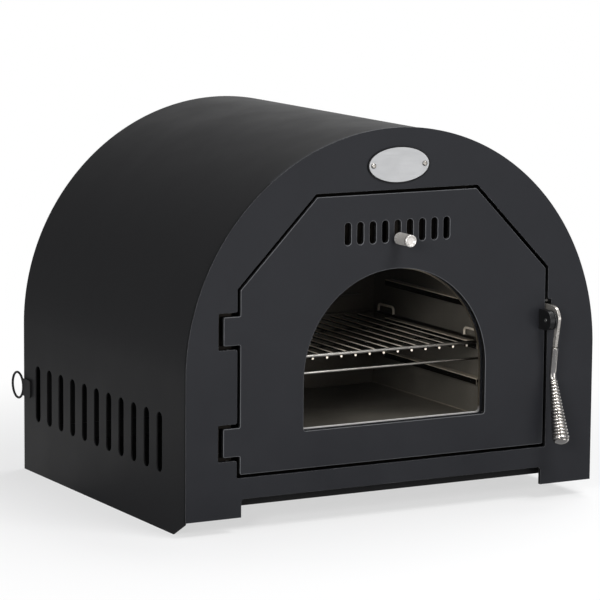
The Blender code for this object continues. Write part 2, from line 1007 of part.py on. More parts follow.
def make_latch_block(door_axis):
    """Block, spacer, washer and bolt that carry the lever on the door."""
    bore = circle((pivot_y, pivot_z), bolt_radius + seat, 20)
    block = sideways("latch_block", [d_outline(), bore], block_thickness, block_left)
    link(block, material("latch_block_coat", black_coat, 0.4, 0.2), door_axis)
    disc = [circle((pivot_y, pivot_z), spacer_radius, 32), bore]
    spacer = sideways("latch_spacer", disc, spacer_thickness, spacer_left)
    link(spacer, material("latch_spacer_coat", black_coat, 0.4, 0.2), door_axis)
    ring = [circle((pivot_y, pivot_z), washer_radius, 28), bore]
    washer = sideways("latch_washer", ring, washer_thickness, washer_left)
    link(washer, material("latch_washer_coat", black_coat, 0.4, 0.2), door_axis)
    make_bolt(door_axis)


def make_bolt(door_axis):
    """The latch's pivot bolt, a head at each end."""
    left = block_left - seat
    right = lever_right + seat
    profile = [
        (0, right - left + bolt_head),
        (bolt_head_radius, right - left + bolt_head),
        (bolt_head_radius, right - left),
        (bolt_radius, right - left),
        (bolt_radius, 0),
        (bolt_head_radius, 0),
        (bolt_head_radius, -bolt_head),
        (0, -bolt_head),
    ]
    bolt = turned("latch_bolt", profile, 20)
    bolt.rotation_euler = (0, math.pi / 2, 0)
    bolt.location = (left, pivot_y, pivot_z)
    link(bolt, material("latch_bolt_steel", steel, 0.3, 1.0), door_axis)


def lever_outline():
    """The lever in its own plane, about the pivot: a front edge rounded over the top, the tongue
    to the rear and the arm down."""
    arm_top = -lever_head + arm_width
    arm_foot = arm_top + arm_shift
    tongue = [(tongue_reach, tongue_bottom), (tongue_reach, tongue_top)]
    head_radius = lever_head + lever_head / 2
    head = arc((lever_head / 2, tongue_top - head_radius), head_radius, 90, 180, 8)
    arm = [
        (arm_foot - arm_width, -arm_drop),
        (arm_foot, -arm_drop),
        (arm_top + arm_shift * lever_head / arm_drop, -lever_head),
    ]
    under = arc((0, 0), lever_head, 250, 335, 8)
    root = [(lever_head, tongue_root)]
    return tongue + head + arm + under + root


def make_lever(swing):
    """The flat lever with its tongue and arm."""
    outline = [(pivot_y + y, pivot_z + z) for y, z in lever_outline()]
    bore = circle((pivot_y, pivot_z), bolt_radius + seat, 20)
    lever = sideways("latch_lever", [outline, bore], lever_thickness, lever_left)
    link(lever, material("lever_steel", steel, 0.25, 1.0), swing)


def make_keeper():
    """The catch behind the plate: a foot, an ear and the pin that the tongue closes under."""
    near = plate_back + seat
    left = door_half + door_gap + latch_notch_reach + seat
    middle = pivot_z + keeper_rise
    foot = box(
        "latch_keeper",
        (left, near, middle - keeper_height / 2),
        (left + keeper_width, near + keeper_plate, middle + keeper_height / 2),
    )
    link(foot, material("keeper_steel", steel, 0.4, 1.0))
    ear_half = keeper_height / 2 - keeper_plate
    ear = box(
        "keeper_ear_tool",
        (left, near + keeper_plate / 2, middle - ear_half),
        (left + keeper_ear, near + keeper_ear_depth, middle + ear_half),
    )
    join(foot, as_cutter(ear))
    pin_y = front + keeper_depth
    pin = rod(
        "keeper_pin_tool",
        (lever_left, pin_y, middle),
        (left + keeper_ear / 2, pin_y, middle),
        keeper_pin_radius,
        16,
    )
    join(foot, as_cutter(pin))


# Sleeve and coil grip


def bend_point():
    """Where the sleeve turns outward, about the pivot."""
    top = sleeve_top()
    return Vector((0, top.y + sleeve_shift, top.z - sleeve_drop))


def sleeve_top():
    """The sleeve's upper end, under the arm's foot, about the pivot."""
    across = -lever_head + arm_width / 2 + arm_shift
    tilted_edge = arm_width / 2 * sleeve_shift / sleeve_drop
    return Vector((0, across, -arm_drop - tilted_edge - seat))


def make_sleeve(swing, grip):
    """The bent tube between the arm and the coil."""
    pivot = Vector((lever_x, pivot_y, pivot_z))
    down = Vector((0, -math.sin(grip_tilt), -math.cos(grip_tilt)))
    bend = bend_point()
    points = [sleeve_top(), bend, bend + down * sleeve_neck]
    sleeve = tube("handle_sleeve", [tuple(pivot + p) for p in points], sleeve_radius, 4)
    link(sleeve, material("sleeve_steel", steel, 0.2, 1.0), swing)
    make_grip(grip)


def coil_length():
    """Length of the coil from end to end."""
    return coil_turns * coil_pitch + 2 * (2 * wire_radius + coil_lead)


def coil_path():
    """The tapered coil, from its upper end down, on its own axis. Its ends run along the axis."""
    straight = 2 * wire_radius
    steps = round(coil_turns * coil_points)
    points = [Vector((coil_top_radius, 0, 0)), Vector((coil_top_radius, 0, -straight))]
    for i in range(1, steps):
        share = i / steps
        angle = 2 * math.pi * coil_turns * share
        radius = coil_top_radius + (coil_bottom_radius - coil_top_radius) * share
        down = straight + coil_lead + coil_turns * coil_pitch * share
        points.append(Vector((radius * math.cos(angle), radius * math.sin(angle), -down)))
    angle = 2 * math.pi * coil_turns
    foot = Vector((coil_bottom_radius * math.cos(angle), coil_bottom_radius * math.sin(angle), 0))
    low = coil_length()
    points.append(foot - Vector((0, 0, low - straight)))
    points.append(foot - Vector((0, 0, low)))
    return points


def least_self_gap(points, radius):
    """Least clear distance between parts of a wire that are half a turn or more apart along it."""
    apart = coil_points // 2
    dense = []
    for first, second in zip(points, points[1:]):
        dense += [first.lerp(second, k / 4) for k in range(4)]
    least = None
    for i, point in enumerate(dense):
        for other in dense[i + 4 * apart :]:
            distance = (point - other).length - 2 * radius
            if least is None or distance < least:
                least = distance
    return least


def make_grip(grip):
    """Core, tapered coil and end cap, hung on the tilted grip empty."""
    start = sleeve_neck + seat
    path = coil_path()
    print(f"coil: least gap to itself {1000 * least_self_gap(path, wire_radius):.2f} mm")
    coil = tube("grip_coil", [tuple(point) for point in path], wire_radius, 1)
    coil.location = (0, 0, -start)
    hang(coil, grip, material("coil_steel", steel, 0.25, 1.0))
    length = coil_length()
    thin = coil_top_radius - wire_radius - core_clearance
    thick = coil_bottom_radius - wire_radius - core_clearance
    taper_start = 2 * wire_radius + coil_lead
    profile = [
        (0, 0),
        (thin, 0),
        (thin, -taper_start),
        (thick, -length + taper_start),
        (thick, -length),
        (0, -length),
    ]
    core = turned("grip_core", profile, 20)
    core.location = (0, 0, -start)
    hang(core, grip, material("core_steel", (0.3, 0.3, 0.29), 0.4, 1.0))
    cap = turned("grip_cap", cap_profile(), 28)
    cap.location = (0, 0, -start - length - seat)
    hang(cap, grip, material("cap_steel", steel, 0.25, 1.0))


def cap_profile():
    """The rounded end of the grip."""
    profile = [(0, 0), (cap_radius, 0)]
    for i in range(1, 7):
        angle = math.pi / 2 * i / 6
        profile.append((cap_radius * math.cos(angle), -cap_height * math.sin(angle)))
    profile[-1] = (0, -cap_height)
    return profile


def hang(obj, empty, made_of):
    """Hang an object on an empty, in the empty's own frame."""
    oven.objects.link(obj)
    obj.data.materials.append(made_of)
    obj.parent = empty


# Inside


def surround_corners():
    """Outline of the box behind the front plate that the door closes."""
    return chamfered(
        surround_half, surround_bottom, surround_shoulder, surround_top, surround_crown_half
    )


def make_chamber():
    """Surround, face, liner, insulation, supports and heat shield."""
    outer = surround_corners()
    surround = upright(
        "door_surround",
        [outer, grown(outer, -surround_sheet)],
        surround_depth,
        plate_back + seat,
    )
    link(surround, material("surround_steel", (0.35, 0.34, 0.33), 0.4, 0.9))
    inner = liner_half + seat
    hole = rectangle(-inner, liner_floor + sill_height, inner, liner_top)
    face = upright("chamber_face", [outer, hole], surround_sheet, face_front)
    link(face, material("chamber_face_steel", (0.45, 0.44, 0.42), 0.35, 0.95))
    outside = liner_half + liner_sheet
    liner = open_tray(
        "chamber_liner",
        (-outside, liner_near, liner_floor - liner_sheet),
        (outside, liner_far + liner_sheet, liner_top + liner_sheet),
        liner_sheet,
        (0, -1, 0),
    )
    link(liner, material("liner_steel", (0.48, 0.46, 0.43), 0.3, 1.0))
    make_blanket(outside)
    make_support(liner_near + support_front, "front")
    make_support(liner_far - support_rear - support_width, "rear")
    make_shield()


def make_blanket(outside):
    """The insulation over the chamber's top and sides."""
    inner = outside + seat
    outer = inner + blanket
    top = liner_top + liner_sheet + seat
    low = liner_floor - liner_sheet
    outline = [
        (-outer, low),
        (-inner, low),
        (-inner, top),
        (inner, top),
        (inner, low),
        (outer, low),
        (outer, top + blanket),
        (-outer, top + blanket),
    ]
    obj = upright("insulation_blanket", [outline], liner_length, liner_near)
    link(obj, material("insulation_fibre", (0.62, 0.60, 0.55), 0.95, 0.0))


def make_support(near, word):
    """A folded channel that carries the chamber on the pan."""
    low = pan_level + pan_sheet + seat
    high = liner_floor - liner_sheet - seat
    far = near + support_width
    outline = [
        (near, low),
        (near + support_sheet, low),
        (near + support_sheet, high - support_sheet),
        (far - support_sheet, high - support_sheet),
        (far - support_sheet, low),
        (far, low),
        (far, high),
        (near, high),
    ]
    support = sideways("liner_support_" + word, [outline], 2 * support_half, -support_half)
    link(support, material("support_steel_" + word, (0.3, 0.3, 0.3), 0.5, 0.8))


def make_shield():
    """The folded plate that stands off the chamber's rear wall."""
    wall = liner_far - seat
    low = liner_floor + seat
    top = liner_floor + shield_height
    outline = [
        (shield_near, low),
        (shield_near + shield_sheet, low),
        (shield_near + shield_sheet, top - shield_sheet),
        (wall, top - shield_sheet),
        (wall, top),
        (shield_near, top),
    ]
    shield = sideways("rear_heat_shield", [outline], 2 * shield_half, -shield_half)
    link(shield, material("shield_steel", (0.45, 0.43, 0.40), 0.35, 1.0))


def make_rails():
    """Three rails on each side wall of the chamber, folded from sheet."""
    near = liner_near + rail_behind_front
    length = liner_far - rail_before_rear - near
    for side, side_word in ((-1, "left"), (1, "right")):
        wall = liner_half - seat
        edge = wall - rail_width
        for top, level_word in zip(rail_heights, ("lower", "middle", "upper")):
            outline = [
                (side * wall, top),
                (side * edge, top),
                (side * edge, top - rail_lip),
                (side * (edge + rail_sheet), top - rail_lip),
                (side * (edge + rail_sheet), top - rail_sheet),
                (side * (wall - rail_sheet), top - rail_sheet),
                (side * (wall - rail_sheet), top - rail_lip),
                (side * wall, top - rail_lip),
            ]
            if side < 0:
                outline.reverse()
            name = f"rack_rail_{level_word}_{side_word}"
            rail = upright(name, [outline], length, near)
            link(rail, material(name + "_steel", (0.5, 0.48, 0.45), 0.35, 1.0))


# Rack


def make_rack():
    """The wire rack: a rim, bars under it, cross wires, a front fence and four stop loops."""
    height = rack_level()
    slide = joint_empty("rack_slide_axis", (0, rack_near, height))
    corners = rounded(rectangle(-rack_half, rack_near, rack_half, rack_far), rim_corner, 5)
    rim = meshed(tube("wire_rack", [(x, y, height) for x, y in corners], rim_radius, 2, cyclic=True))
    link(rim, material("rack_steel", steel, 0.2, 1.0), slide)
    wires = new_collection("rack_wires")
    wires.hide_render = True
    for wire in rack_wires(height):
        wires.objects.link(wire)
        wire.hide_render = True
        wire.display_type = "WIRE"
    union = rim.modifiers.new("Weld wires", "BOOLEAN")
    union.operation = "UNION"
    union.solver = "EXACT"
    union.operand_type = "COLLECTION"
    union.collection = wires
    union.use_self = True


def rack_level():
    """Height of the rim's centre, resting on the middle rails."""
    return rail_heights[1] + seat + rim_radius


def rack_wires(height):
    """Every wire that is welded to the rim."""
    made = []
    low = height - bar_drop
    for i in range(bar_count):
        across = (i - (bar_count - 1) / 2) * bar_pitch
        start = (across, rack_near - rim_radius / 4, low)
        end = (across, rack_far + rim_radius / 4, low)
        made.append(meshed(tube(f"rack_bar_{i}", [start, end], bar_radius)))
    cross_half = rack_half - cross_inset
    for i, across_y in enumerate((rack_near + cross_front, rack_far - cross_rear)):
        start = (-cross_half, across_y, low - cross_drop)
        end = (cross_half, across_y, low - cross_drop)
        made.append(meshed(tube(f"rack_cross_{i}", [start, end], bar_radius)))
    made.append(fence_wire(height))
    front_loop = rack_near + rim_corner + loop_inset
    rear_loop = rack_far - rim_corner - loop_inset - loop_length
    for side in (-1, 1):
        for i, start in enumerate((front_loop, rear_loop)):
            made.append(stop_loop(f"rack_loop_{side}_{i}", side, start, height))
    return made


def fence_wire(height):
    """The lower front wire, turned up at both ends to the rim."""
    half = rack_half - rim_corner
    path = rounded(
        [(-half, height), (-half, height - fence_drop), (half, height - fence_drop), (half, height)],
        loop_bend,
        4,
    )
    count = len(path) // 4
    points = [(-half, height)] + path[count : 3 * count] + [(half, height)]
    return meshed(tube("rack_fence", [(x, rack_near, z) for x, z in points], bar_radius))


def stop_loop(name, side, start, height):
    """A low hoop over the rim that stops food from sliding off."""
    end = start + loop_length
    top = height + loop_height
    path = rounded([(start, height), (start, top), (end, top), (end, height)], loop_bend, 4)
    count = len(path) // 4
    points = [(start, height)] + path[count : 3 * count] + [(end, height)]
    across = side * rack_half
    return meshed(tube(name, [(across, y, z) for y, z in points], bar_radius))


# Assembly, from the casing inward

make_front_plate()
make_casing_wrap()
make_rear_panel()
make_base_pan()
make_badge()
make_tie_ring()
make_chamber()
make_rails()
make_rack()
make_keeper()

door_swing = joint_empty("door_hinge_axis", (*hinge_axis, pivot_z))
make_hinges(door_swing)
make_door_panel(door_swing)
make_window(door_swing)
make_damper(door_swing)
make_latch_block(door_swing)

latch_swing = joint_empty("latch_pivot_axis", (lever_x, pivot_y, pivot_z), door_swing)
grip_axis = joint_empty("grip_tilt_axis", (lever_x, pivot_y + bend_point().y, pivot_z + bend_point().z), latch_swing)
grip_axis.rotation_euler = (-grip_tilt, 0, 0)
make_lever(latch_swing)
make_sleeve(latch_swing, grip_axis)
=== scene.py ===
"""Looks of an arched outdoor oven: powder-coated sheet, a glass door, a spring-grip latch and a wire rack."""

import math

import bmesh
import bpy
from mathutils import Matrix, Vector


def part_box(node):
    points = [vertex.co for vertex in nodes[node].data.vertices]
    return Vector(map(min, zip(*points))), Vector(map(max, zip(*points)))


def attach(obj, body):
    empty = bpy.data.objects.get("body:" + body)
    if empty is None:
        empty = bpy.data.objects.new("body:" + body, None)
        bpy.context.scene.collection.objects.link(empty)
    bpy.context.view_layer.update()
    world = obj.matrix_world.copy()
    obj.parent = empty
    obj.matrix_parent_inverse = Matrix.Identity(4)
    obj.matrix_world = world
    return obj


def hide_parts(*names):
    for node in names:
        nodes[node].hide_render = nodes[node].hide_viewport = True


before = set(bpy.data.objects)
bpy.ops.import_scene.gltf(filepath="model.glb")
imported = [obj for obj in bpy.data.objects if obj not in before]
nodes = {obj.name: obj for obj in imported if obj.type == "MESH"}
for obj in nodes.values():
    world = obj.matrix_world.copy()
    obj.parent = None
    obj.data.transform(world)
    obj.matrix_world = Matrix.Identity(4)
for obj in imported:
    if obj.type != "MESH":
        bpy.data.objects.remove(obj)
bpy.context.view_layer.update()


# Camera
# The photograph is taken with a long lens from the front left, a little above the badge.
# The frame is 600 by 600.

camera_place = (-2.0975, -3.7823, 0.9149)
camera_right = Vector((0.87595, -0.48234, 0.00781))
camera_forward = Vector((0.47776, 0.86517, -0.15243))
camera_lens = 196.86
camera_sensor = 36.0


def placed(name, data):
    """A new object in the scene."""
    made = bpy.data.objects.new(name, data)
    bpy.context.scene.collection.objects.link(made)
    return made


def make_camera():
    """The camera at the photograph's angle."""
    eye = bpy.data.cameras.new("camera")
    eye.lens = camera_lens
    eye.sensor_width = camera_sensor
    eye.clip_end = 40.0
    holder = placed("camera", eye)
    back = -camera_forward.normalized()
    up = back.cross(camera_right).normalized()
    right = up.cross(back)
    turn = Matrix((right, up, back)).transposed().to_4x4()
    holder.matrix_world = Matrix.Translation(camera_place) @ turn
    bpy.context.scene.camera = holder


make_camera()


# Studio
# A pale round floor before a white backdrop. Camera, metal and glass see the backdrop white, and
# the rest of the room is dim. Soft boxes light the oven at a plain level.

floor_radius = 0.95
floor_fade = (0.45, 0.9)
floor_seen_shares = (0.62, 1.0)
floor_colour = (0.80, 0.80, 0.80, 1.0)
floor_turns_white = (-0.1, 0.1)
backdrop_turn = (45.0, 28.0)
room_white = (1.0, 1.0, 1.0, 1.0)
room_fill = (0.24, 0.245, 0.26, 1.0)
soft_boxes = (
    # name, place, aim, width, height, watts
    ("key_box", (0.3, -1.35, 1.75), (0.0, -0.2, 0.3), 0.9, 0.7, 27.0),
    ("top_box", (1.6, 0.7, 3.0), (0.0, 0.1, 0.4), 1.8, 1.6, 48.0),
    ("right_box", (1.35, -3.3, 0.1), (0.1, -0.2, 0.25), 1.9, 1.8, 22.0),
    ("left_box", (-3.2, -0.6, 0.35), (0.2, -0.25, 0.2), 1.8, 1.8, 13.0),
    ("window_box", (-2.2, -2.3, 1.15), (0.05, 0.0, 0.15), 0.9, 0.7, 50.0),
)


def feed(tree, node, inputs):
    """Give a node's inputs these values, or link them from these sockets."""
    for key, value in inputs.items():
        if isinstance(value, bpy.types.NodeSocket):
            tree.links.new(value, node.inputs[key])
        else:
            node.inputs[key].default_value = value


def add_node(tree, kind, inputs=(), **settings):
    """A new node with these settings and inputs."""
    node = tree.nodes.new(kind)
    for key, value in settings.items():
        setattr(node, key, value)
    feed(tree, node, dict(inputs))
    return node


def math_of(tree, operation, first, second=0.0):
    """One sum of two values."""
    return add_node(tree, "ShaderNodeMath", {0: first, 1: second}, operation=operation).outputs[0]


def spread_range(tree, value, start, end, low, high):
    """A value between start and end spread over low to high."""
    limits = {"Value": value, "From Min": start, "From Max": end, "To Min": low, "To Max": high}
    return add_node(tree, "ShaderNodeMapRange", limits).outputs["Result"]


def mixed(tree, share, first, second):
    """A colour between two, by a share."""
    inputs = {"Factor": share, "A": first, "B": second}
    return add_node(tree, "ShaderNodeMix", inputs, data_type="RGBA").outputs["Result"]


def place_vector(tree):
    """Object coordinates."""
    return add_node(tree, "ShaderNodeTexCoord").outputs["Object"]


def lies_ahead(tree, vector, start, end):
    """The share by which a place or a direction lies beyond the oven, seen from the camera."""
    inputs = {0: vector, 1: camera_forward.normalized()}
    along = add_node(tree, "ShaderNodeVectorMath", inputs, operation="DOT_PRODUCT")
    return spread_range(tree, along.outputs["Value"], start, end, 0.0, 1.0)


def ray_kinds(tree):
    """Whether the camera sees this, and whether metal or glass does."""
    rays = add_node(tree, "ShaderNodeLightPath").outputs
    return rays["Is Camera Ray"], math_of(tree, "MAXIMUM", rays["Is Glossy Ray"], rays["Is Transmission Ray"])


def new_material(name):
    """A node material, its tree and its shader."""
    material = bpy.data.materials.new(name)
    material.use_nodes = True
    return material, material.node_tree, material.node_tree.nodes["Principled BSDF"]


def make_room():
    """The world: white for the camera and, towards the backdrop, for metal and glass; else dim."""
    world = bpy.data.worlds.new("white_room")
    bpy.context.scene.world = world
    world.use_nodes = True
    tree = world.node_tree
    where = add_node(tree, "ShaderNodeTexCoord").outputs["Generated"]
    edge, core = (math.cos(math.radians(turn)) for turn in backdrop_turn)
    camera_ray, mirrored = ray_kinds(tree)
    mirrored = math_of(tree, "MULTIPLY", mirrored, lies_ahead(tree, where, edge, core))
    seen = math_of(tree, "MAXIMUM", camera_ray, mirrored)
    feed(tree, tree.nodes["Background"], {"Color": mixed(tree, seen, room_fill, room_white)})


def make_floor():
    """A matt pale floor that keeps the oven's shadow and runs out into the white backdrop.

    Metal sees it white behind the oven and dim before it, like the room.
    """
    mesh = bpy.data.meshes.new("floor")
    maker = bmesh.new()
    bmesh.ops.create_circle(maker, cap_ends=True, segments=96, radius=floor_radius)
    maker.to_mesh(mesh)
    maker.free()
    placed("floor", mesh)
    paint, tree, shader = new_material("floor_white")
    feed(tree, shader, {"Base Color": floor_colour, "Roughness": 0.9, "Specular IOR Level": 0.1})
    where = place_vector(tree)
    away = add_node(tree, "ShaderNodeVectorMath", {0: where}, operation="LENGTH").outputs["Value"]
    share = spread_range(tree, away, *floor_fade, *floor_seen_shares)
    camera_ray, mirrored = ray_kinds(tree)
    lifted = math_of(tree, "MAXIMUM", math_of(tree, "MULTIPLY", camera_ray, share), mirrored)
    white = math_of(tree, "MAXIMUM", camera_ray, lies_ahead(tree, where, *floor_turns_white))
    lift = add_node(tree, "ShaderNodeEmission", {"Color": mixed(tree, white, room_fill, room_white)})
    both = add_node(tree, "ShaderNodeMixShader", {0: lifted, 1: shader.outputs[0], 2: lift.outputs[0]})
    feed(tree, tree.nodes["Material Output"], {"Surface": both.outputs[0]})
    mesh.materials.append(paint)


def make_soft_box(name, place, aim, width, height, watts):
    """One square lamp turned to the oven."""
    lamp = bpy.data.lights.new(name, "AREA")
    lamp.shape = "RECTANGLE"
    lamp.size = width
    lamp.size_y = height
    lamp.energy = watts
    holder = placed(name, lamp)
    holder.location = place
    holder.rotation_euler = (Vector(aim) - Vector(place)).to_track_quat("-Z", "Y").to_euler()


make_room()
make_floor()
for box_values in soft_boxes:
    make_soft_box(*box_values)
bpy.context.scene.view_settings.view_transform = "Standard"


# Casing sheet
# One 2 mm steel sheet bent over both sides and the top, with eleven slots punched in each side.
# It is powder coated in satin charcoal, which leaves a fine orange peel and soft edges.

casing_low, casing_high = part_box("casing_wrap")
plate_low, plate_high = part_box("front_plate")
front = plate_low.y
plate_back = plate_high.y
sheet = 0.002
arch_radius = plate_high.x
spring = plate_high.z - arch_radius
arch_steps = 120
skirt_drop = plate_low.z
left_toe = 0.036
right_toe = 0.215
plate_thickness = plate_back - front
side_vents = 11
side_vent_width = 0.0155
side_vent_bottom = 0.0725
side_vent_top = 0.1490
side_vent_first = front + 0.0760
side_vent_pitch = 0.0368
slot_round_share = 0.4999
slot_round_steps = 8
sheet_edge = 0.00035
weld_reach = 0.00001
edge_angle = 32.0
side_dark = (0.0095, 0.0094, 0.0097)
side_light = (0.0125, 0.0124, 0.0128)
peel_size = 1100.0


def noise_node(tree, vector, scale, detail, roughness, distortion=0.0):
    """A noise texture on a vector."""
    inputs = {"Vector": vector, "Scale": scale, "Detail": detail, "Roughness": roughness}
    inputs["Distortion"] = distortion
    return add_node(tree, "ShaderNodeTexNoise", inputs).outputs["Fac"]


def new_group(name, inputs, outputs):
    """A shader node group with these sockets, its inputs' sockets and its output node."""
    group = bpy.data.node_groups.new(name, "ShaderNodeTree")
    for word, kind in inputs:
        group.interface.new_socket(word, in_out="INPUT", socket_type="NodeSocket" + kind)
    for word in outputs:
        group.interface.new_socket(word, in_out="OUTPUT", socket_type="NodeSocketFloat")
    return group, group.nodes.new("NodeGroupInput").outputs, group.nodes.new("NodeGroupOutput")


def make_powder_group():
    """Powder coat: a fine orange peel as height, and slow patches of tone."""
    inputs = (("Vector", "Vector"), ("Peel Size", "Float"))
    group, come, go = new_group("powder_coat", inputs, ("Height", "Tone"))
    peel = noise_node(group, come["Vector"], come["Peel Size"], 2.0, 0.45)
    feed(group, go, {"Height": peel, "Tone": noise_node(group, come["Vector"], 14.0, 3.0, 0.55)})
    return group


powder_group = make_powder_group()


def ranged(tree, value, low, high):
    """A noise value, mostly between 0.3 and 0.7, spread over another range."""
    return spread_range(tree, value, 0.3, 0.7, low, high)


def toned(tree, tone, first, second):
    """A colour between two, by a noise value."""
    return mixed(tree, ranged(tree, tone, 0.0, 1.0), (*first, 1.0), (*second, 1.0))


def bumped(tree, height, strength, distance):
    """A normal from a height."""
    inputs = {"Strength": strength, "Distance": distance, "Height": height}
    return add_node(tree, "ShaderNodeBump", inputs).outputs["Normal"]


def powder_coat(name, dark, light, rough_low, rough_high, specular):
    """A satin powder coat of this colour."""
    paint, tree, shader = new_material(name)
    inputs = {"Vector": place_vector(tree), "Peel Size": peel_size}
    grain = add_node(tree, "ShaderNodeGroup", inputs, node_tree=powder_group).outputs
    finish = {
        "Base Color": toned(tree, grain["Tone"], dark, light),
        "Roughness": ranged(tree, grain["Tone"], rough_low, rough_high),
        "Normal": bumped(tree, grain["Height"], 0.25, 0.0001),
        "Specular IOR Level": specular,
    }
    feed(tree, shader, finish)
    return paint


side_coat = powder_coat("side_coat", side_dark, side_light, 0.46, 0.54, 0.12)


def flat_shape(name, outlines, thickness, closed=True):
    """A flat 2D curve extruded half its thickness each way."""
    curve = bpy.data.curves.new(name, "CURVE")
    curve.dimensions = "2D"
    curve.fill_mode = "BOTH" if closed else "NONE"
    curve.extrude = thickness / 2
    for outline in outlines:
        spline = curve.splines.new("POLY")
        spline.points.add(len(outline) - 1)
        for point, place in zip(spline.points, outline):
            point.co = (place[0], place[1], 0, 1)
        spline.use_cyclic_u = closed
    return bpy.data.objects.new(name, curve)


def arc(centre, radius, start, end, steps):
    """Points on an arc in degrees, both ends included."""
    points = []
    for i in range(steps + 1):
        angle = math.radians(start + (end - start) * i / steps)
        points.append((centre[0] + radius * math.cos(angle), centre[1] + radius * math.sin(angle)))
    return points


def plain_mesh(made, flat=True):
    """The object as one welded mesh at the origin, with its flat faces cleared of inner edges."""
    if made.name not in bpy.context.scene.collection.objects:
        bpy.context.scene.collection.objects.link(made)
    bpy.context.view_layer.update()
    graph = bpy.context.evaluated_depsgraph_get()
    mesh = bpy.data.meshes.new_from_object(made.evaluated_get(graph))
    mesh.transform(made.matrix_world)
    welder = bmesh.new()
    welder.from_mesh(mesh)
    bmesh.ops.remove_doubles(welder, verts=welder.verts, dist=weld_reach)
    bmesh.ops.recalc_face_normals(welder, faces=welder.faces)
    if flat:
        bmesh.ops.dissolve_limit(
            welder,
            angle_limit=math.radians(0.1),
            use_dissolve_boundaries=False,
            verts=welder.verts,
            edges=welder.edges,
        )
    welder.to_mesh(mesh)
    welder.free()
    name = made.name
    bpy.data.objects.remove(made, do_unlink=True)
    return placed(name, mesh)


def eased(solid, radius, segments=2):
    """Round the edges of a solid and keep its flat faces flat in shading."""
    bevel = solid.modifiers.new("Edge", "BEVEL")
    bevel.width = radius
    bevel.segments = segments
    bevel.limit_method = "ANGLE"
    bevel.angle_limit = math.radians(edge_angle)
    bevel.harden_normals = False
    return solid


def paint_faces(mesh, others):
    """Give each of these materials the faces that its rule picks by their normal."""
    for other, rule in others:
        mesh.materials.append(other)
        for face in mesh.polygons:
            if rule(face.normal):
                face.material_index = len(mesh.materials) - 1


def coated(solid, paint, body, replaced=(), smooth_angle=40.0, others=()):
    """The finished piece: a plain mesh with its material, riding on its body in place of CAD nodes.

    Without a paint it keeps the materials it has. Others are pairs of a material and a rule that
    picks faces for it by their normal.
    """
    if paint:
        solid.data.materials.clear()
        solid.data.materials.append(paint)
    bpy.context.view_layer.update()
    graph = bpy.context.evaluated_depsgraph_get()
    mesh = bpy.data.meshes.new_from_object(solid.evaluated_get(graph))
    name = solid.name
    bpy.data.objects.remove(solid, do_unlink=True)
    mesh.shade_smooth()
    mesh.set_sharp_from_angle(angle=math.radians(smooth_angle))
    paint_faces(mesh, others)
    piece = placed(name, mesh)
    weigh = piece.modifiers.new("Flat faces", "WEIGHTED_NORMAL")
    weigh.keep_sharp = True
    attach(piece, body)
    if replaced:
        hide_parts(*replaced)
    return piece


def cut_away(target, tool):
    """Cut one solid with another, at once."""
    modifier = target.modifiers.new("Work", "BOOLEAN")
    modifier.operation = "DIFFERENCE"
    modifier.solver = "EXACT"
    modifier.object = tool
    worked = plain_mesh(target, flat=False)
    bpy.data.objects.remove(tool, do_unlink=True)
    return worked


def sideways(name, outlines, thickness, left):
    """A plate that stands front to back. Its outline is (Y, Z) and its left face is at this X."""
    made = flat_shape(name, outlines, thickness)
    made.rotation_euler = (math.pi / 2, 0, math.pi / 2)
    made.location = (left + thickness / 2, 0, 0)
    return plain_mesh(made)


def upright(name, outlines, thickness, face):
    """A plate that stands across the oven. Its outline is (X, Z) and its front face is at this Y."""
    made = flat_shape(name, outlines, thickness)
    made.rotation_euler = (math.pi / 2, 0, 0)
    made.location = (0, face + thickness / 2, 0)
    return plain_mesh(made)


def new_tree(name, **sockets):
    """A Geometry Nodes tree with these named inputs, its inputs' sockets and its output node."""
    tree = bpy.data.node_groups.new(name, "GeometryNodeTree")
    tree.interface.new_socket("Geometry", in_out="INPUT", socket_type="NodeSocketGeometry")
    for word, kind in sockets.items():
        tree.interface.new_socket(word, in_out="INPUT", socket_type="NodeSocket" + kind)
    tree.interface.new_socket("Geometry", in_out="OUTPUT", socket_type="NodeSocketGeometry")
    return tree, tree.nodes.new("NodeGroupInput").outputs, tree.nodes.new("NodeGroupOutput")


def run_tree(made, tree, **values):
    """Run a tree on an object with these inputs and keep the result as a plain mesh."""
    modifier = made.modifiers.new(tree.name, "NODES")
    modifier.node_group = tree
    for item in tree.interface.items_tree:
        if item.in_out == "INPUT" and item.name in values:
            modifier[item.identifier] = values[item.name]
    return plain_mesh(made, flat=False)


def end_tree(tree, geometry, paint, go):
    """End a tree: its instances made real and its material set."""
    real = add_node(tree, "GeometryNodeRealizeInstances", {0: geometry}).outputs[0]
    dress = add_node(tree, "GeometryNodeSetMaterial", {"Geometry": real, "Material": paint})
    feed(tree, go, {"Geometry": dress.outputs[0]})
    return tree


def in_row(tree, come, one):
    """Instances of one piece at equal steps."""
    inputs = {"Count": come["count"], "Start Location": come["first"], "Offset": come["pitch"]}
    row = add_node(tree, "GeometryNodeMeshLine", inputs, mode="OFFSET").outputs[0]
    return add_node(tree, "GeometryNodeInstanceOnPoints", {"Points": row, "Instance": one}).outputs[0]


def swept(tree, path, profile):
    """A profile carried along a path, its ends closed."""
    inputs = {"Curve": path, "Profile Curve": profile, "Fill Caps": True}
    return add_node(tree, "GeometryNodeCurveToMesh", inputs).outputs[0]


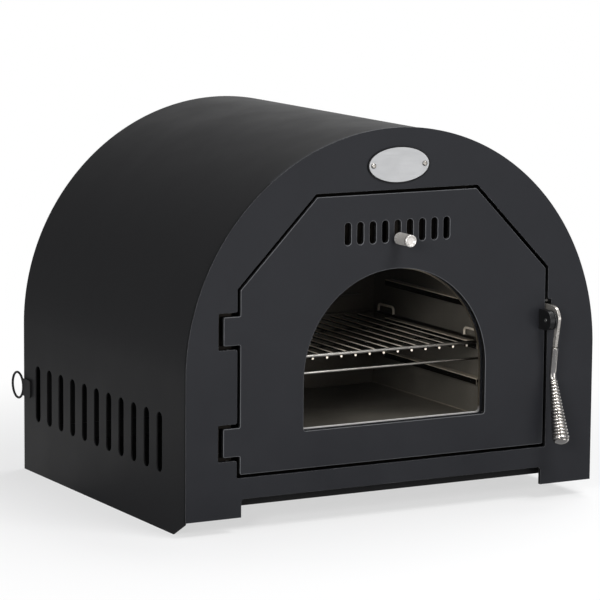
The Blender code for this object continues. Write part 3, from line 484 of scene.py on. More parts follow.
def make_vent_tree():
    """A row of round-ended slots punched through a sheet."""
    sizes = {"slot_width": "Float", "slot_height": "Float"}
    row = {"count": "Int", "first": "Vector", "pitch": "Vector", "punch": "Vector"}
    tree, come, go = new_tree("vent_row", **row, **sizes, coat="Material")
    back = add_node(tree, "ShaderNodeVectorMath", {0: come["punch"], "Scale": -1.0}, operation="SCALE")
    inputs = {"Start": back.outputs[0], "End": come["punch"]}
    stroke = add_node(tree, "GeometryNodeCurvePrimitiveLine", inputs)
    inputs = {"Width": come["slot_width"], "Height": come["slot_height"]}
    outline = add_node(tree, "GeometryNodeCurvePrimitiveQuadrilateral", inputs)
    inputs = {"Curve": outline.outputs[0], "Count": slot_round_steps}
    inputs["Radius"] = math_of(tree, "MULTIPLY", come["slot_width"], slot_round_share)
    ends = add_node(tree, "GeometryNodeFilletCurve", inputs, mode="POLY")
    slots = in_row(tree, come, swept(tree, stroke.outputs[0], ends.outputs[0]))
    inputs = {"Mesh 1": come["Geometry"]}
    inputs["Mesh 2"] = add_node(tree, "GeometryNodeRealizeInstances", {0: slots}).outputs[0]
    cut = add_node(tree, "GeometryNodeMeshBoolean", inputs, operation="DIFFERENCE", solver="EXACT")
    return end_tree(tree, cut.outputs["Mesh"], come["coat"], go)


vent_tree = make_vent_tree()


def toe_cutter(side, length):
    """The wedge that slants the front end of one skirt."""
    over = 0.006
    slope = skirt_drop / (length + plate_thickness)
    outline = [
        (front - over, -over),
        (front + length + over / slope, -over),
        (front - over, skirt_drop + slope * over),
    ]
    return sideways("toe_cutter", [outline], arch_radius + over, -arch_radius - over if side < 0 else 0)


def make_casing():
    """The bent and punched sheet."""
    radius = casing_high.x
    length = casing_high.y - casing_low.y
    path = [(radius, 0)] + arc((0, spring), radius, 0, 180, arch_steps) + [(-radius, 0)]
    strip = flat_shape("casing_sheet", [path], length, closed=False)
    strip.rotation_euler = (math.pi / 2, 0, 0)
    strip.location = (0, casing_low.y + length / 2, 0)
    wrap = plain_mesh(strip, flat=False)
    splitter = bmesh.new()
    splitter.from_mesh(wrap.data)
    for i in range(side_vents + 1):
        between = side_vent_first + side_vent_pitch * (i - 0.5)
        parts = splitter.verts[:] + splitter.edges[:] + splitter.faces[:]
        bmesh.ops.bisect_plane(splitter, geom=parts, plane_co=(0, between, 0), plane_no=(0, 1, 0))
    splitter.to_mesh(wrap.data)
    splitter.free()
    shell = wrap.modifiers.new("Sheet", "SOLIDIFY")
    shell.thickness = sheet
    shell.offset = -1
    shell.use_even_offset = True
    wrap = run_tree(
        wrap,
        vent_tree,
        count=side_vents,
        first=(0, side_vent_first, (side_vent_bottom + side_vent_top) / 2),
        pitch=(0, side_vent_pitch, 0),
        punch=(arch_radius + sheet, 0, 0),
        slot_width=side_vent_width,
        slot_height=side_vent_top - side_vent_bottom,
        coat=side_coat,
    )
    wrap = cut_away(wrap, toe_cutter(-1, left_toe))
    wrap = cut_away(wrap, toe_cutter(1, right_toe))
    coated(eased(wrap, sheet_edge), side_coat, "casing", ["casing_wrap"])


make_casing()


# Front plate
# A 5 mm laser-cut plate with two feet, coated like the sheet but a little bluer in the light.
# The opening has notches for the two hinges and for the latch's tongue.

foot_width = 0.078
foot_notch = 0.0235
foot_corner = 0.004
door_half = 0.224
door_bottom = 0.0755
door_shoulder = 0.3080
door_top = 0.4180
door_crown = 0.1165
door_gap = 0.0046
door_corner = 0.002
tab_middles = (0.117, 0.2575)
hinge_notch_reach = 0.0265
hinge_notch_height = 0.047
latch_notch_reach = 0.0056
latch_notch_bottom = 0.2295
latch_notch_top = 0.2670
plate_edge = 0.0007
front_dark = (0.0140, 0.0146, 0.0172)
front_light = (0.0170, 0.0177, 0.0205)
front_coat = powder_coat("front_coat", front_dark, front_light, 0.44, 0.52, 0.16)
# Painted shade: a near-black coat for the plates' cut faces that no light from above reaches.
cut_coat = powder_coat("cut_coat", (0.0050, 0.0050, 0.0053), (0.0075, 0.0075, 0.0080), 0.5, 0.6, 0.1)
black_coat = powder_coat(
    "black_coat", (0.0060, 0.0060, 0.0063), (0.0085, 0.0085, 0.0088), 0.34, 0.44, 0.4
)
# Painted highlights: lighter coats for the bevels along the plates' edges, where they catch the light.
rim_coat = powder_coat("rim_coat", (0.080, 0.082, 0.087), (0.100, 0.102, 0.107), 0.4, 0.5, 0.3)
worn_coat = powder_coat("worn_coat", (0.170, 0.173, 0.180), (0.200, 0.203, 0.210), 0.4, 0.5, 0.3)


def is_cut(normal):
    """A face of the plate's thickness that no light from above reaches."""
    return abs(normal.y) < 0.1 and normal.z < 0.8


def is_rim(normal):
    """A face of the bevel between a plate's face and its cut edge, which gets a painted highlight."""
    return 0.1 <= abs(normal.y) < 0.97 and normal.x < 0.3


def rounded(corners, radius, steps=6):
    """The closed polygon of these corners with each corner turned to an arc."""
    points = []
    for i, corner in enumerate(corners):
        here = Vector(corner)
        before = (Vector(corners[i - 1]) - here).normalized()
        after = (Vector(corners[(i + 1) % len(corners)]) - here).normalized()
        half_turn = math.acos(max(-1, min(1, before.dot(after)))) / 2
        centre = here + (before + after).normalized() * (radius / math.sin(half_turn))
        first = here + before * (radius / math.tan(half_turn)) - centre
        last = here + after * (radius / math.tan(half_turn)) - centre
        sweep = first.angle_signed(last)
        for k in range(steps + 1):
            points.append(tuple(centre + Matrix.Rotation(-sweep * k / steps, 2) @ first))
    return points


def door_corners(grow=0.0):
    """The door's outline without its tabs, moved outward by one distance."""
    corners = [
        (-door_half, door_bottom),
        (door_half, door_bottom),
        (door_half, door_shoulder),
        (door_crown, door_top),
        (-door_crown, door_top),
        (-door_half, door_shoulder),
    ]
    moved = []
    for i, corner in enumerate(corners):
        here = Vector(corner)
        before = (here - Vector(corners[i - 1])).normalized()
        after = (Vector(corners[(i + 1) % len(corners)]) - here).normalized()
        out_before = Vector((before.y, -before.x))
        middle = (out_before + Vector((after.y, -after.x))).normalized()
        moved.append(tuple(here + middle * (grow / middle.dot(out_before))))
    return moved


def stepped(edge, reach, start, end):
    """Four points that step out from an upright edge and back."""
    return [(edge, start), (edge + reach, start), (edge + reach, end), (edge, end)]


def opening_outline():
    """The hole that the door fills, with its notches."""
    corners = door_corners(door_gap)
    left, right = corners[0][0], corners[1][0]
    latch_notch = stepped(right, latch_notch_reach, latch_notch_bottom, latch_notch_top)
    outline = corners[:2] + latch_notch + corners[2:]
    half = hinge_notch_height / 2
    for middle in reversed(tab_middles):
        outline += stepped(left, -hinge_notch_reach, middle + half, middle - half)
    return rounded(outline, door_corner)


def bent_path(corners, radius, steps=6):
    """An open path through four corners, with its two inner corners rounded."""
    bend = rounded(corners, radius, steps)
    count = len(bend) // 4
    return [corners[0]] + bend[count : 3 * count] + [corners[3]]


def front_outline():
    """The arch and its feet."""
    inner = arch_radius - foot_width
    top = skirt_drop + foot_notch
    notch = [(-inner, skirt_drop), (-inner, top), (inner, top), (inner, skirt_drop)]
    feet = [(-arch_radius, skirt_drop), *bent_path(notch, foot_corner), (arch_radius, skirt_drop)]
    return feet + arc((0, spring), arch_radius, 0, 180, arch_steps)


arched_face = upright("arched_front", [front_outline(), opening_outline()], plate_thickness, front)
# Painted light on the plates: shade on their cut faces, highlights on their edge bevels.
door_light_and_shade = ((cut_coat, is_cut), (rim_coat, is_rim))
plate_light_and_shade = ((cut_coat, is_cut), (worn_coat, is_rim))
arched_face = eased(arched_face, plate_edge, 3)
coated(arched_face, front_coat, "casing", ["front_plate"], others=plate_light_and_shade)


# Rear panel and pan
# The back is a 2 mm sheet under the rolled edge, held by a ring of dome-headed screws. The pan
# across the bottom is a folded tray. Both are coated like the sides.

panel_low, panel_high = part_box("rear_panel")
rear_screw_inset = 0.009
rear_screw_turns = (4, 26, 48, 70, 90, 110, 132, 154, 176)
rear_low_screws = (-0.2, 0.0, 0.2)
rear_screw_radius = 0.0042
rear_screw_height = 0.0022
socket_share = 0.42
socket_taper = 0.92
socket_floor = 0.4
seat_share = 0.7
rim_share = 0.3
dome_turn = 67.5
screw_steps = 20


def lathed(name, profile, start, along, steps=64, ring=False):
    """A turned piece. Its profile is (radius, distance) pairs from a start along a direction."""
    mesh = bpy.data.meshes.new(name)
    maker = bmesh.new()
    rounds = []
    for radius, distance in profile:
        count = steps if radius > 0 else 1
        turns = [2 * math.pi * k / steps for k in range(count)]
        rounds.append(
            [maker.verts.new((radius * math.cos(t), radius * math.sin(t), distance)) for t in turns]
        )
    pairs = list(zip(rounds, rounds[1:]))
    if ring:
        pairs.append((rounds[-1], rounds[0]))
    for first, second in pairs:
        for k in range(steps):
            after = (k + 1) % steps
            if len(first) == 1 and len(second) == 1:
                break
            if len(first) == 1:
                maker.faces.new((first[0], second[k], second[after]))
            elif len(second) == 1:
                maker.faces.new((first[k], second[0], first[after]))
            else:
                maker.faces.new((first[k], second[k], second[after], first[after]))
    bmesh.ops.recalc_face_normals(maker, faces=maker.faces)
    maker.to_mesh(mesh)
    maker.free()
    turn = Vector((0, 0, 1)).rotation_difference(Vector(along)).to_matrix().to_4x4()
    mesh.transform(Matrix.Translation(start) @ turn)
    return bpy.data.objects.new(name, mesh)


def dome_screw(name, radius, height, along):
    """A domed screw head with a hexagon socket, its seat at the origin."""
    socket = radius * socket_share
    profile = [(radius * seat_share, 0), (radius, 0), (radius, height * rim_share)]
    top = math.sin(math.radians(dome_turn))
    for out, up in arc((0, 0), 1, dome_turn / 4, dome_turn, 3):
        profile.append((socket + (radius - socket) * out, height * (rim_share + (1 - rim_share) * up / top)))
    profile += [(socket, height), (socket * socket_taper, height * socket_floor), (0, height * socket_floor)]
    return lathed(name, profile, (0, 0, 0), along, screw_steps)


def make_fastener_tree():
    """One fastener set at every point of another mesh."""
    tree, come, go = new_tree("fasteners", places="Object", steel="Material")
    marks = add_node(tree, "GeometryNodeObjectInfo", {"Object": come["places"]}).outputs["Geometry"]
    inputs = {"Points": marks, "Instance": come["Geometry"]}
    spread = add_node(tree, "GeometryNodeInstanceOnPoints", inputs).outputs[0]
    return end_tree(tree, spread, come["steel"], go)


fastener_tree = make_fastener_tree()


def set_fasteners(one, places, paint):
    """Copies of one fastener at these places, as one mesh."""
    mesh = bpy.data.meshes.new(one.name + "_places")
    mesh.from_pydata(places, [], [])
    marks = placed(mesh.name, mesh)
    row = run_tree(one, fastener_tree, places=marks, steel=paint)
    bpy.data.objects.remove(marks, do_unlink=True)
    return row


def dressed(paint, *names):
    """A CAD node that keeps its shape gets its finish."""
    for name in names:
        nodes[name].data.materials.clear()
        nodes[name].data.materials.append(paint)


def make_rear():
    """The rear sheet and its screws."""
    radius = panel_high.x
    outline = [(-radius, panel_low.z), (radius, panel_low.z)] + arc((0, spring), radius, 0, 180, arch_steps)
    back = upright("rear_sheet", [outline], panel_high.y - panel_low.y, panel_low.y)
    coated(eased(back, sheet_edge), side_coat, "casing", ["rear_panel"])
    places = []
    for turn in rear_screw_turns:
        across, up = arc((0, spring), radius - rear_screw_inset, turn, turn, 1)[0]
        places.append((across, panel_high.y, up))
    for across in rear_low_screws:
        places.append((across, panel_high.y, panel_low.z + rear_screw_inset))
    head = dome_screw("rear_screws", rear_screw_radius, rear_screw_height, (0, 1, 0))
    coated(set_fasteners(head, places, side_coat), side_coat, "casing")


make_rear()
dressed(side_coat, "base_pan")


# Chamber
# A folded stainless box stands on two channels in the pan, wrapped in fibre. Its face and a
# surround close the gap to the front plate. Heat has tinted the inside brown, and painted shade
# darkens it towards the rear.

chamber_dark = (0.19, 0.177, 0.15)
chamber_light = (0.36, 0.335, 0.285)
# Painted shade: the chamber's steel darkens from its mouth towards its rear.
chamber_near_rear = (-0.21, 0.09)
chamber_rear_shade = (0.075, 0.064, 0.050)
fibre_dark = (0.42, 0.39, 0.33)
fibre_light = (0.66, 0.62, 0.54)


def make_brushed_group():
    """Brushed steel: fine lines along one way, and wide smears of heat and wiping."""
    inputs = (("Vector", "Vector"), ("Lines", "Vector"), ("Smear Size", "Float"))
    group, come, go = new_group("brushed_steel", inputs, ("Grain", "Smear"))
    inputs = {0: come["Vector"], 1: come["Lines"]}
    stretch = add_node(group, "ShaderNodeVectorMath", inputs, operation="MULTIPLY").outputs[0]
    grain = noise_node(group, stretch, 1.0, 3.0, 0.6)
    smear = noise_node(group, come["Vector"], come["Smear Size"], 4.0, 0.5, 0.6)
    feed(group, go, {"Grain": grain, "Smear": smear})
    return group


brushed_group = make_brushed_group()


def brushed(name, dark, light, rough_low, rough_high, lines, smear_size, strength=0.15, metallic=1.0):
    """A brushed metal with its lines across the long way of its grain."""
    metal, tree, shader = new_material(name)
    inputs = {"Vector": place_vector(tree), "Lines": lines, "Smear Size": smear_size}
    grain = add_node(tree, "ShaderNodeGroup", inputs, node_tree=brushed_group).outputs
    finish = {
        "Base Color": toned(tree, grain["Smear"], dark, light),
        "Roughness": ranged(tree, grain["Grain"], rough_low, rough_high),
        "Normal": bumped(tree, grain["Grain"], strength, 0.00005),
        "Metallic": metallic,
    }
    feed(tree, shader, finish)
    return metal


def fibre(name, dark, light):
    """A matted mineral fibre."""
    wool, tree, shader = new_material(name)
    tuft = noise_node(tree, place_vector(tree), 180.0, 6.0, 0.7)
    finish = {
        "Base Color": toned(tree, tuft, dark, light),
        "Normal": bumped(tree, tuft, 0.8, 0.0008),
        "Roughness": 0.95,
        "Specular IOR Level": 0.1,
    }
    feed(tree, shader, finish)
    return wool


def shaded_along(metal, axis, start, end, low, most=1.0):
    """Painted shade: the metal's colour falls off along one axis."""
    tree = metal.node_tree
    shader = tree.nodes["Principled BSDF"]
    bare = shader.inputs["Base Color"].links[0].from_socket
    parts = add_node(tree, "ShaderNodeSeparateXYZ", {0: place_vector(tree)}).outputs
    share = spread_range(tree, parts[axis], start, end, 0.0, most)
    feed(tree, shader, {"Base Color": mixed(tree, share, bare, (*low, 1.0))})
    return metal


def shaded_to_rear(metal):
    """Painted shade over a metal, light at the chamber's mouth and dark at its rear."""
    return shaded_along(metal, "Y", *chamber_near_rear, chamber_rear_shade, 0.85)


# Painted shade darkens the chamber's steel towards its rear.
chamber_steel = shaded_to_rear(
    brushed(
        "chamber_steel", chamber_dark, chamber_light, 0.34, 0.48, (40, 900, 900), 7.0, metallic=0.6
    )
)
plain_steel = brushed("plain_steel", (0.16, 0.16, 0.16), (0.26, 0.26, 0.25), 0.38, 0.5, (60, 60, 900), 12.0)
wool_fibre = fibre("wool_fibre", fibre_dark, fibre_light)
# Near-black steel. On the parts seen only through the door gap, the notches and the vents, on the rack's
# undersides and cross wires and on the rails' lips it is painted shade.
smoked_steel = brushed(
    "smoked_steel", (0.010, 0.009, 0.008), (0.022, 0.019, 0.016), 0.5, 0.62, (60, 60, 900), 12.0
)
dressed(chamber_steel, "chamber_liner", "rear_heat_shield")
# Painted shade: the face and surround show near black through the door gap.
dressed(smoked_steel, "chamber_face", "door_surround")
dressed(plain_steel, "liner_support_front", "liner_support_rear")
dressed(wool_fibre, "insulation_blanket")


# Rack rails
# Three rails on each side wall are folded from 1.2 mm stainless sheet with a turned-down lip. The
# rack slides on the middle pair.

chamber_half = 0.155
chamber_near = -0.2101
rail_wall_gap = 0.0003
rail_width = 0.012
rail_lip = 0.008
rail_sheet = 0.0012
rail_fold = 0.0016
rail_near = chamber_near + 0.0076
rail_length = 0.2375
rail_tops = (0.1625, 0.2095, 0.2620)
# Painted shade darkens the rails towards the chamber's rear.
rail_steel = shaded_to_rear(
    brushed(
        "rail_steel", (0.50, 0.43, 0.34), (0.72, 0.63, 0.51), 0.30, 0.42, (30, 700, 700), 11.0, metallic=0.6
    )
)


def is_lip(normal):
    """A face of the turned-down lip, painted black as shade and as the reflection of the dark wall."""
    return abs(normal.x) > 0.95


def is_fold(normal):
    """A face of the fold over the lip, which gets a painted highlight."""
    return 0.2 < abs(normal.x) <= 0.95 and normal.z > 0.2


# Painted highlight: a light steel for the folds, where they catch the light.
rubbed_steel = brushed(
    "rubbed_steel", (0.72, 0.62, 0.48), (0.90, 0.80, 0.64), 0.3, 0.4, (30, 90, 90), 11.0, 0.02, 0.3
)
# Painted light on the rails: shade on the lips, highlights on the folds.
rail_light_and_shade = ((smoked_steel, is_lip), (rubbed_steel, is_fold))


def make_rails(side, word):
    """The rails on one wall: one folded strip set at three heights."""
    wall = chamber_half - rail_wall_gap
    edge = wall - rail_width
    outer = [
        (side * wall, -rail_lip),
        (side * wall, 0),
        (side * edge, 0),
        (side * edge, -rail_lip),
    ]
    inner = [
        (side * (edge + rail_sheet), -rail_lip),
        (side * (edge + rail_sheet), -rail_sheet),
        (side * (wall - rail_sheet), -rail_sheet),
        (side * (wall - rail_sheet), -rail_lip),
    ]
    outline = bent_path(outer, rail_fold, 4) + inner
    if side < 0:
        outline.reverse()
    strip = upright(f"rails_{word}", [outline], rail_length, rail_near)
    places = [(0, 0, top) for top in rail_tops]
    rails = set_fasteners(strip, places, rail_steel)
    names = [f"rack_rail_{level}_{word}" for level in ("lower", "middle", "upper")]
    coated(rails, rail_steel, "casing", names, 30.0, rail_light_and_shade)


make_rails(-1, "left")
make_rails(1, "right")


# Wire rack
# Thirteen bars and two cross wires are welded under a bent rim, with a lower wire across the
# front and two stop hoops on each side. It is stainless wire, with painted shade under it and on the cross
# wires.

rack_half = 0.1518
rack_near = -0.2065
rack_far = 0.0765
rim_level = 0.2121
rim_wire = 0.0023
bar_wire = 0.00165
rim_corner = 0.0035
rack_bars = 13
rack_bar_pitch = 0.0208
bar_level = 0.2087
cross_level = 0.2059
cross_places = (-0.1185, -0.0135)
cross_half = 0.128
fence_level = 0.1906
hoop_height = 0.0115
hoop_length = 0.040
hoop_starts = (-0.1970, 0.0270)
wire_bend = 0.005
wire_sides = 12
rack_steel = brushed(
    "rack_steel", (0.80, 0.71, 0.58), (0.95, 0.87, 0.74), 0.28, 0.38, (90, 90, 90), 16.0, 0.02, 0.3
)


def round_wire(tree, come, path):
    """A round wire along a path."""
    inputs = {"Resolution": come["sides"], "Radius": come["wire_radius"]}
    ring = add_node(tree, "GeometryNodeCurvePrimitiveCircle", inputs)
    return swept(tree, path, ring.outputs[0])


wire_sockets = {"wire_radius": "Float", "sides": "Int", "steel": "Material"}


def make_bent_wire_tree():
    """A round wire or tube along the edges of a path."""
    tree, come, go = new_tree("bent_wire", **wire_sockets)
    path = add_node(tree, "GeometryNodeMeshToCurve", {"Mesh": come["Geometry"]}).outputs[0]
    return end_tree(tree, round_wire(tree, come, path), come["steel"], go)


bent_wire_tree = make_bent_wire_tree()


def bent_wire(name, points, radius, paint, closed=False, sides=wire_sides):
    """A wire bent along these points."""
    mesh = bpy.data.meshes.new(name)
    edges = [(i, i + 1) for i in range(len(points) - 1)]
    if closed:
        edges.append((len(points) - 1, 0))
    mesh.from_pydata([tuple(point) for point in points], edges, [])
    path = bpy.data.objects.new(name, mesh)
    return run_tree(path, bent_wire_tree, wire_radius=radius, sides=sides, steel=paint)


def make_wire_row_tree():
    """A row of straight wires."""
    row = {"count": "Int", "first": "Vector", "pitch": "Vector", "run": "Vector"}
    tree, come, go = new_tree("wire_row", **row, **wire_sockets)
    stroke = add_node(tree, "GeometryNodeCurvePrimitiveLine", {"End": come["run"]}).outputs[0]
    return end_tree(tree, in_row(tree, come, round_wire(tree, come, stroke)), come["steel"], go)


wire_row_tree = make_wire_row_tree()


def wire_row(name, count, first, pitch, run, radius, paint):
    """Straight wires in a row."""
    host = bpy.data.objects.new(name, bpy.data.meshes.new(name))
    row = {"count": count, "first": first, "pitch": pitch, "run": run}
    return run_tree(host, wire_row_tree, **row, wire_radius=radius, sides=wire_sides, steel=paint)


# Painted shade: the rim and front wire darken towards the right, where they mirror the chamber's dark wall.
bright_wire = shaded_along(
    brushed("bright_wire", (0.42, 0.40, 0.37), (0.54, 0.52, 0.49), 0.30, 0.36, (20, 20, 20), 16.0, 0.01),
    "X",
    -0.10,
    0.13,
    (0.10, 0.09, 0.075),
)


def joined(name, solids):
    """Several meshes as one object, each with its own materials."""
    maker = bmesh.new()
    paints = []
    for solid in solids:
        first = len(maker.faces)
        maker.from_mesh(solid.data)
        maker.faces.ensure_lookup_table()
        own = list(solid.data.materials)
        paints += [paint for paint in own if paint not in paints]
        for face in maker.faces[first:]:
            face.material_index = paints.index(own[face.material_index]) if own else 0
        bpy.data.objects.remove(solid, do_unlink=True)
    mesh = bpy.data.meshes.new(name)
    maker.to_mesh(mesh)
    maker.free()
    for paint in paints:
        mesh.materials.append(paint)
    return bpy.data.objects.new(name, mesh)


def make_rack():
    """Rim, bars, cross wires, front wire and hoops as one welded piece."""
    half = rack_half
    corners = [(-half, rack_near), (half, rack_near), (half, rack_far), (-half, rack_far)]
    rim = rounded(corners, rim_corner, 10)
    wires = [bent_wire("rack_rim", [(x, y, rim_level) for x, y in rim], rim_wire, bright_wire, True, 20)]
    first = (-(rack_bars - 1) / 2 * rack_bar_pitch, rack_near - rim_wire / 4, bar_level)
    run = (0, rack_far - rack_near + rim_wire / 2, 0)
    bars = wire_row("rack_bars", rack_bars, first, (rack_bar_pitch, 0, 0), run, bar_wire, rack_steel)
    # Painted shade: the bars are near black on their sides and undersides.
    paint_faces(bars.data, ((smoked_steel, lambda normal: abs(normal.y) < 0.5 and normal.z < 0.3),))
    wires.append(bars)
    step = (0, cross_places[1] - cross_places[0], 0)
    first = (-cross_half, cross_places[0], cross_level)
    # Painted shade: the cross wires under the bars are near black.
    cross = wire_row("rack_cross", 2, first, step, (2 * cross_half, 0, 0), bar_wire, smoked_steel)
    coated(cross, smoked_steel, "rack", (), 50.0)
    half = rack_half - rim_corner
    corners = [(-half, rim_level), (-half, fence_level), (half, fence_level), (half, rim_level)]
    fence = [(x, rack_near, z) for x, z in bent_path(corners, wire_bend)]
    wires.append(bent_wire("rack_fence", fence, bar_wire, bright_wire, False, 20))
    top = rim_level + hoop_height
    for side in (-1, 1):
        for start in hoop_starts:
            end = start + hoop_length
            corners = [(start, rim_level), (start, top), (end, top), (end, rim_level)]
            hoop = [(side * rack_half, y, z) for y, z in bent_path(corners, wire_bend)]
            wires.append(bent_wire("rack_hoop", hoop, bar_wire, rack_steel))
    coated(joined("oven_rack", wires), None, "rack", ["wire_rack"], 50.0)


make_rack()


# Chamber folds
# The liner is folded along its floor, and the folds catch the light as thin warm lines.

chamber_floor = 0.111
chamber_rear = 0.0865
fold_radius = 0.0007
fold_inset_share = 1.05


def make_folds():
    """Rounded folds along the floor's rear and both its sides."""
    inset = fold_radius * fold_inset_share
    level = chamber_floor + inset
    beside = chamber_half - inset
    first = (-beside, chamber_rear - inset, level)
    folds = [wire_row("fold_rear", 1, first, (0, 0, 0), (2 * beside, 0, 0), fold_radius, rail_steel)]
    first = (-beside, chamber_near + fold_radius, level)
    run = (0, chamber_rear - chamber_near - 2 * fold_radius, 0)
    folds.append(wire_row("fold_sides", 2, first, (2 * beside, 0, 0), run, fold_radius, rail_steel))
    coated(joined("chamber_folds", folds), None, "casing", (), 60.0)


make_folds()


# Badge
# A bare oval plate of brushed aluminium with a painted shadow line round its edge, held by two domed
# screws. It carries no mark.

badge_level = 0.454
badge_half_width = 0.0455
badge_half_height = 0.0233
badge_face = -0.2403
badge_thickness = 0.0015
# Painted shadow: a dark line just inside the badge's edge.
badge_shadow_inset = 0.0006
badge_shadow_width = 0.0014
badge_shadow_colour = (0.02, 0.02, 0.02, 1.0)
badge_screw_x = 0.0375
badge_screw_radius = 0.0034
badge_screw_height = 0.0016
badge_screw_gap = 0.0003
badge_edge = 0.0003


def make_badge_metal():
    """Brushed aluminium with a painted shadow line near its edge."""
    metal = brushed(
        "badge_aluminium", (0.40, 0.402, 0.405), (0.46, 0.462, 0.465), 0.36, 0.46, (30, 400, 1400), 20.0, 0.2
    )
    tree = metal.node_tree
    shader = tree.nodes["Principled BSDF"]
    across = 1 / (badge_half_width - badge_shadow_inset)
    up = 1 / (badge_half_height - badge_shadow_inset)
    inputs = {0: place_vector(tree), 1: (across, 0, up), 2: (0, 0, -badge_level * up)}
    oval = add_node(tree, "ShaderNodeVectorMath", inputs, operation="MULTIPLY_ADD").outputs[0]
    length = add_node(tree, "ShaderNodeVectorMath", {0: oval}, operation="LENGTH").outputs["Value"]
    inputs = {0: length, 1: 1.0, 2: badge_shadow_width * up / 2}
    line = add_node(tree, "ShaderNodeMath", inputs, operation="COMPARE").outputs[0]
    bare = shader.inputs["Base Color"].links[0].from_socket
    feed(tree, shader, {"Base Color": mixed(tree, line, bare, badge_shadow_colour)})
    return metal


def make_badge():
    """The oval plate and its screws."""
    circle = arc((0, 0), 1, 0, 356.25, 95)
    outline = [(badge_half_width * x, badge_level + badge_half_height * z) for x, z in circle]
    plate = upright("badge_oval", [outline], badge_thickness, badge_face)
    coated(eased(plate, badge_edge), make_badge_metal(), "casing", ["badge_plate"])
    seat = badge_face - badge_screw_gap
    head = dome_screw("badge_screws", badge_screw_radius, badge_screw_height, (0, -1, 0))
    places = [(-badge_screw_x, seat, badge_level), (badge_screw_x, seat, badge_level)]
    screws = set_fasteners(head, places, screw_steel)
    coated(screws, screw_steel, "casing", ["badge_screw_left", "badge_screw_right"])


bright_steel = brushed(
    "bright_steel", (0.50, 0.475, 0.44), (0.72, 0.69, 0.65), 0.14, 0.20, (60, 60, 60), 30.0, 0.01
)
screw_steel = brushed(
    "screw_steel", (0.30, 0.28, 0.26), (0.40, 0.38, 0.35), 0.22, 0.30, (60, 60, 60), 30.0, 0.01
)
make_badge()


# Tie ring
# A wire ring is welded edge-on to a small lug at the rear left corner. Both are coated black.

ring_plane = -0.3004
ring_middle = (0.2675, 0.114)
ring_radius = 0.0175
ring_wire = 0.0016
lug_left = -0.3012
lug_thickness = 0.0024
lug_near = 0.2268
lug_far = 0.2508
lug_low = 0.102
lug_high = 0.126
lug_corner = 0.004


def make_ring():
    """The ring and its lug as one welded piece."""
    points = [(ring_plane, y, z) for y, z in arc(ring_middle, ring_radius, 0, 355, 71)]
    ring = bent_wire("ring", points, ring_wire, side_coat, True)
    corners = [(lug_near, lug_low), (lug_far, lug_low), (lug_far, lug_high), (lug_near, lug_high)]
    lug = sideways("lug", [rounded(corners, lug_corner)], lug_thickness, lug_left)
    coated(joined("corner_ring", [ring, lug]), side_coat, "casing", ["tie_ring"])


make_ring()


# Hinge brackets and pins
# Two steel brackets behind the plate carry plain pins, which show in the notches above and
# below the door's tabs.

hinge_x = -0.238
hinge_y = -0.230
pin_radius = 0.0018
pin_reach = 0.0259


def make_pins():
    """Both pins with rounded ends."""
    for middle, word in zip(tab_middles, ("lower", "upper")):
        end = pin_radius / 2
        length = 2 * pin_reach
        profile = [(0, 0), (pin_radius - end, 0), (pin_radius, end), (pin_radius, length - end)]
        profile += [(pin_radius - end, length), (0, length)]
        pin = lathed(f"pin_{word}", profile, (hinge_x, hinge_y, middle - pin_reach), (0, 0, 1), 32)
        coated(pin, plain_steel, "casing", [f"hinge_pin_{word}"])


make_pins()
dressed(smoked_steel, "hinge_bracket_lower", "hinge_bracket_upper")


# Door plate
# The same 5 mm plate, cut to an eight-sided outline with two hinge tabs, an arched window and
# nine vents over it.

tab_reach = 0.0235
tab_height = 0.036
window_half = 0.134
window_bottom = 0.1230
window_spring = 0.1875
window_corner = 0.004
window_steps = 64
front_vents = 9
front_vent_pitch = 0.0181
front_vent_width = 0.0096
front_vent_bottom = 0.355
front_vent_top = 0.384


def window_outline(margin):
    """The window's arch moved outward by a margin."""
    half = window_half + margin
    bottom = window_bottom - margin
    corners = [(-half, window_spring), (-half, bottom), (half, bottom), (half, window_spring)]
    lower = bent_path(corners, window_corner)[1:-1]
    return lower + arc((0, window_spring), half, 0, 180, window_steps)


def make_door():
    """The door's plate with its window and vents."""
    outline = door_corners()
    half = tab_height / 2
    for middle in reversed(tab_middles):
        outline += stepped(-door_half, -tab_reach, middle + half, middle - half)
    outline = rounded(outline, door_corner)
    panel = upright("door_plate", [outline, window_outline(0.0)], plate_thickness, front)
    panel = run_tree(
        panel,
        vent_tree,
        count=front_vents,
        first=(-(front_vents - 1) / 2 * front_vent_pitch, front, (front_vent_bottom + front_vent_top) / 2),
        pitch=(front_vent_pitch, 0, 0),
        punch=(0, 2 * plate_thickness, 0),
        slot_width=front_vent_width,
        slot_height=front_vent_top - front_vent_bottom,
        coat=front_coat,
    )
    panel = eased(panel, plate_edge, 3)
    # Painted light on the door: shade on its cut faces, highlights on its edge bevels.
    coated(panel, front_coat, "door", ["door_panel"], others=door_light_and_shade)


make_door()


# Hinge knuckles
# A steel tube is welded behind each tab and turns on its pin. It is coated with the door.

knuckle_radius = 0.0032
knuckle_bore = 0.0021
for knuckle_middle, knuckle_word in zip(tab_middles, ("lower", "upper")):
    knuckle_profile = [
        (knuckle_bore, 0),
        (knuckle_radius, 0),
        (knuckle_radius, tab_height),
        (knuckle_bore, tab_height),
    ]
    knuckle_foot = (hinge_x, hinge_y, knuckle_middle - tab_height / 2)
    knuckle = lathed(f"knuckle_{knuckle_word}", knuckle_profile, knuckle_foot, (0, 0, 1), 40, True)
    coated(knuckle, front_coat, "door", [f"hinge_knuckle_{knuckle_word}"])


# Window
# A clear glass pane sits on a woven gasket and is clamped by a coated frame with six screws. A
# lip is folded round the frame's opening, bright along its bottom and darkened above by painted shade.

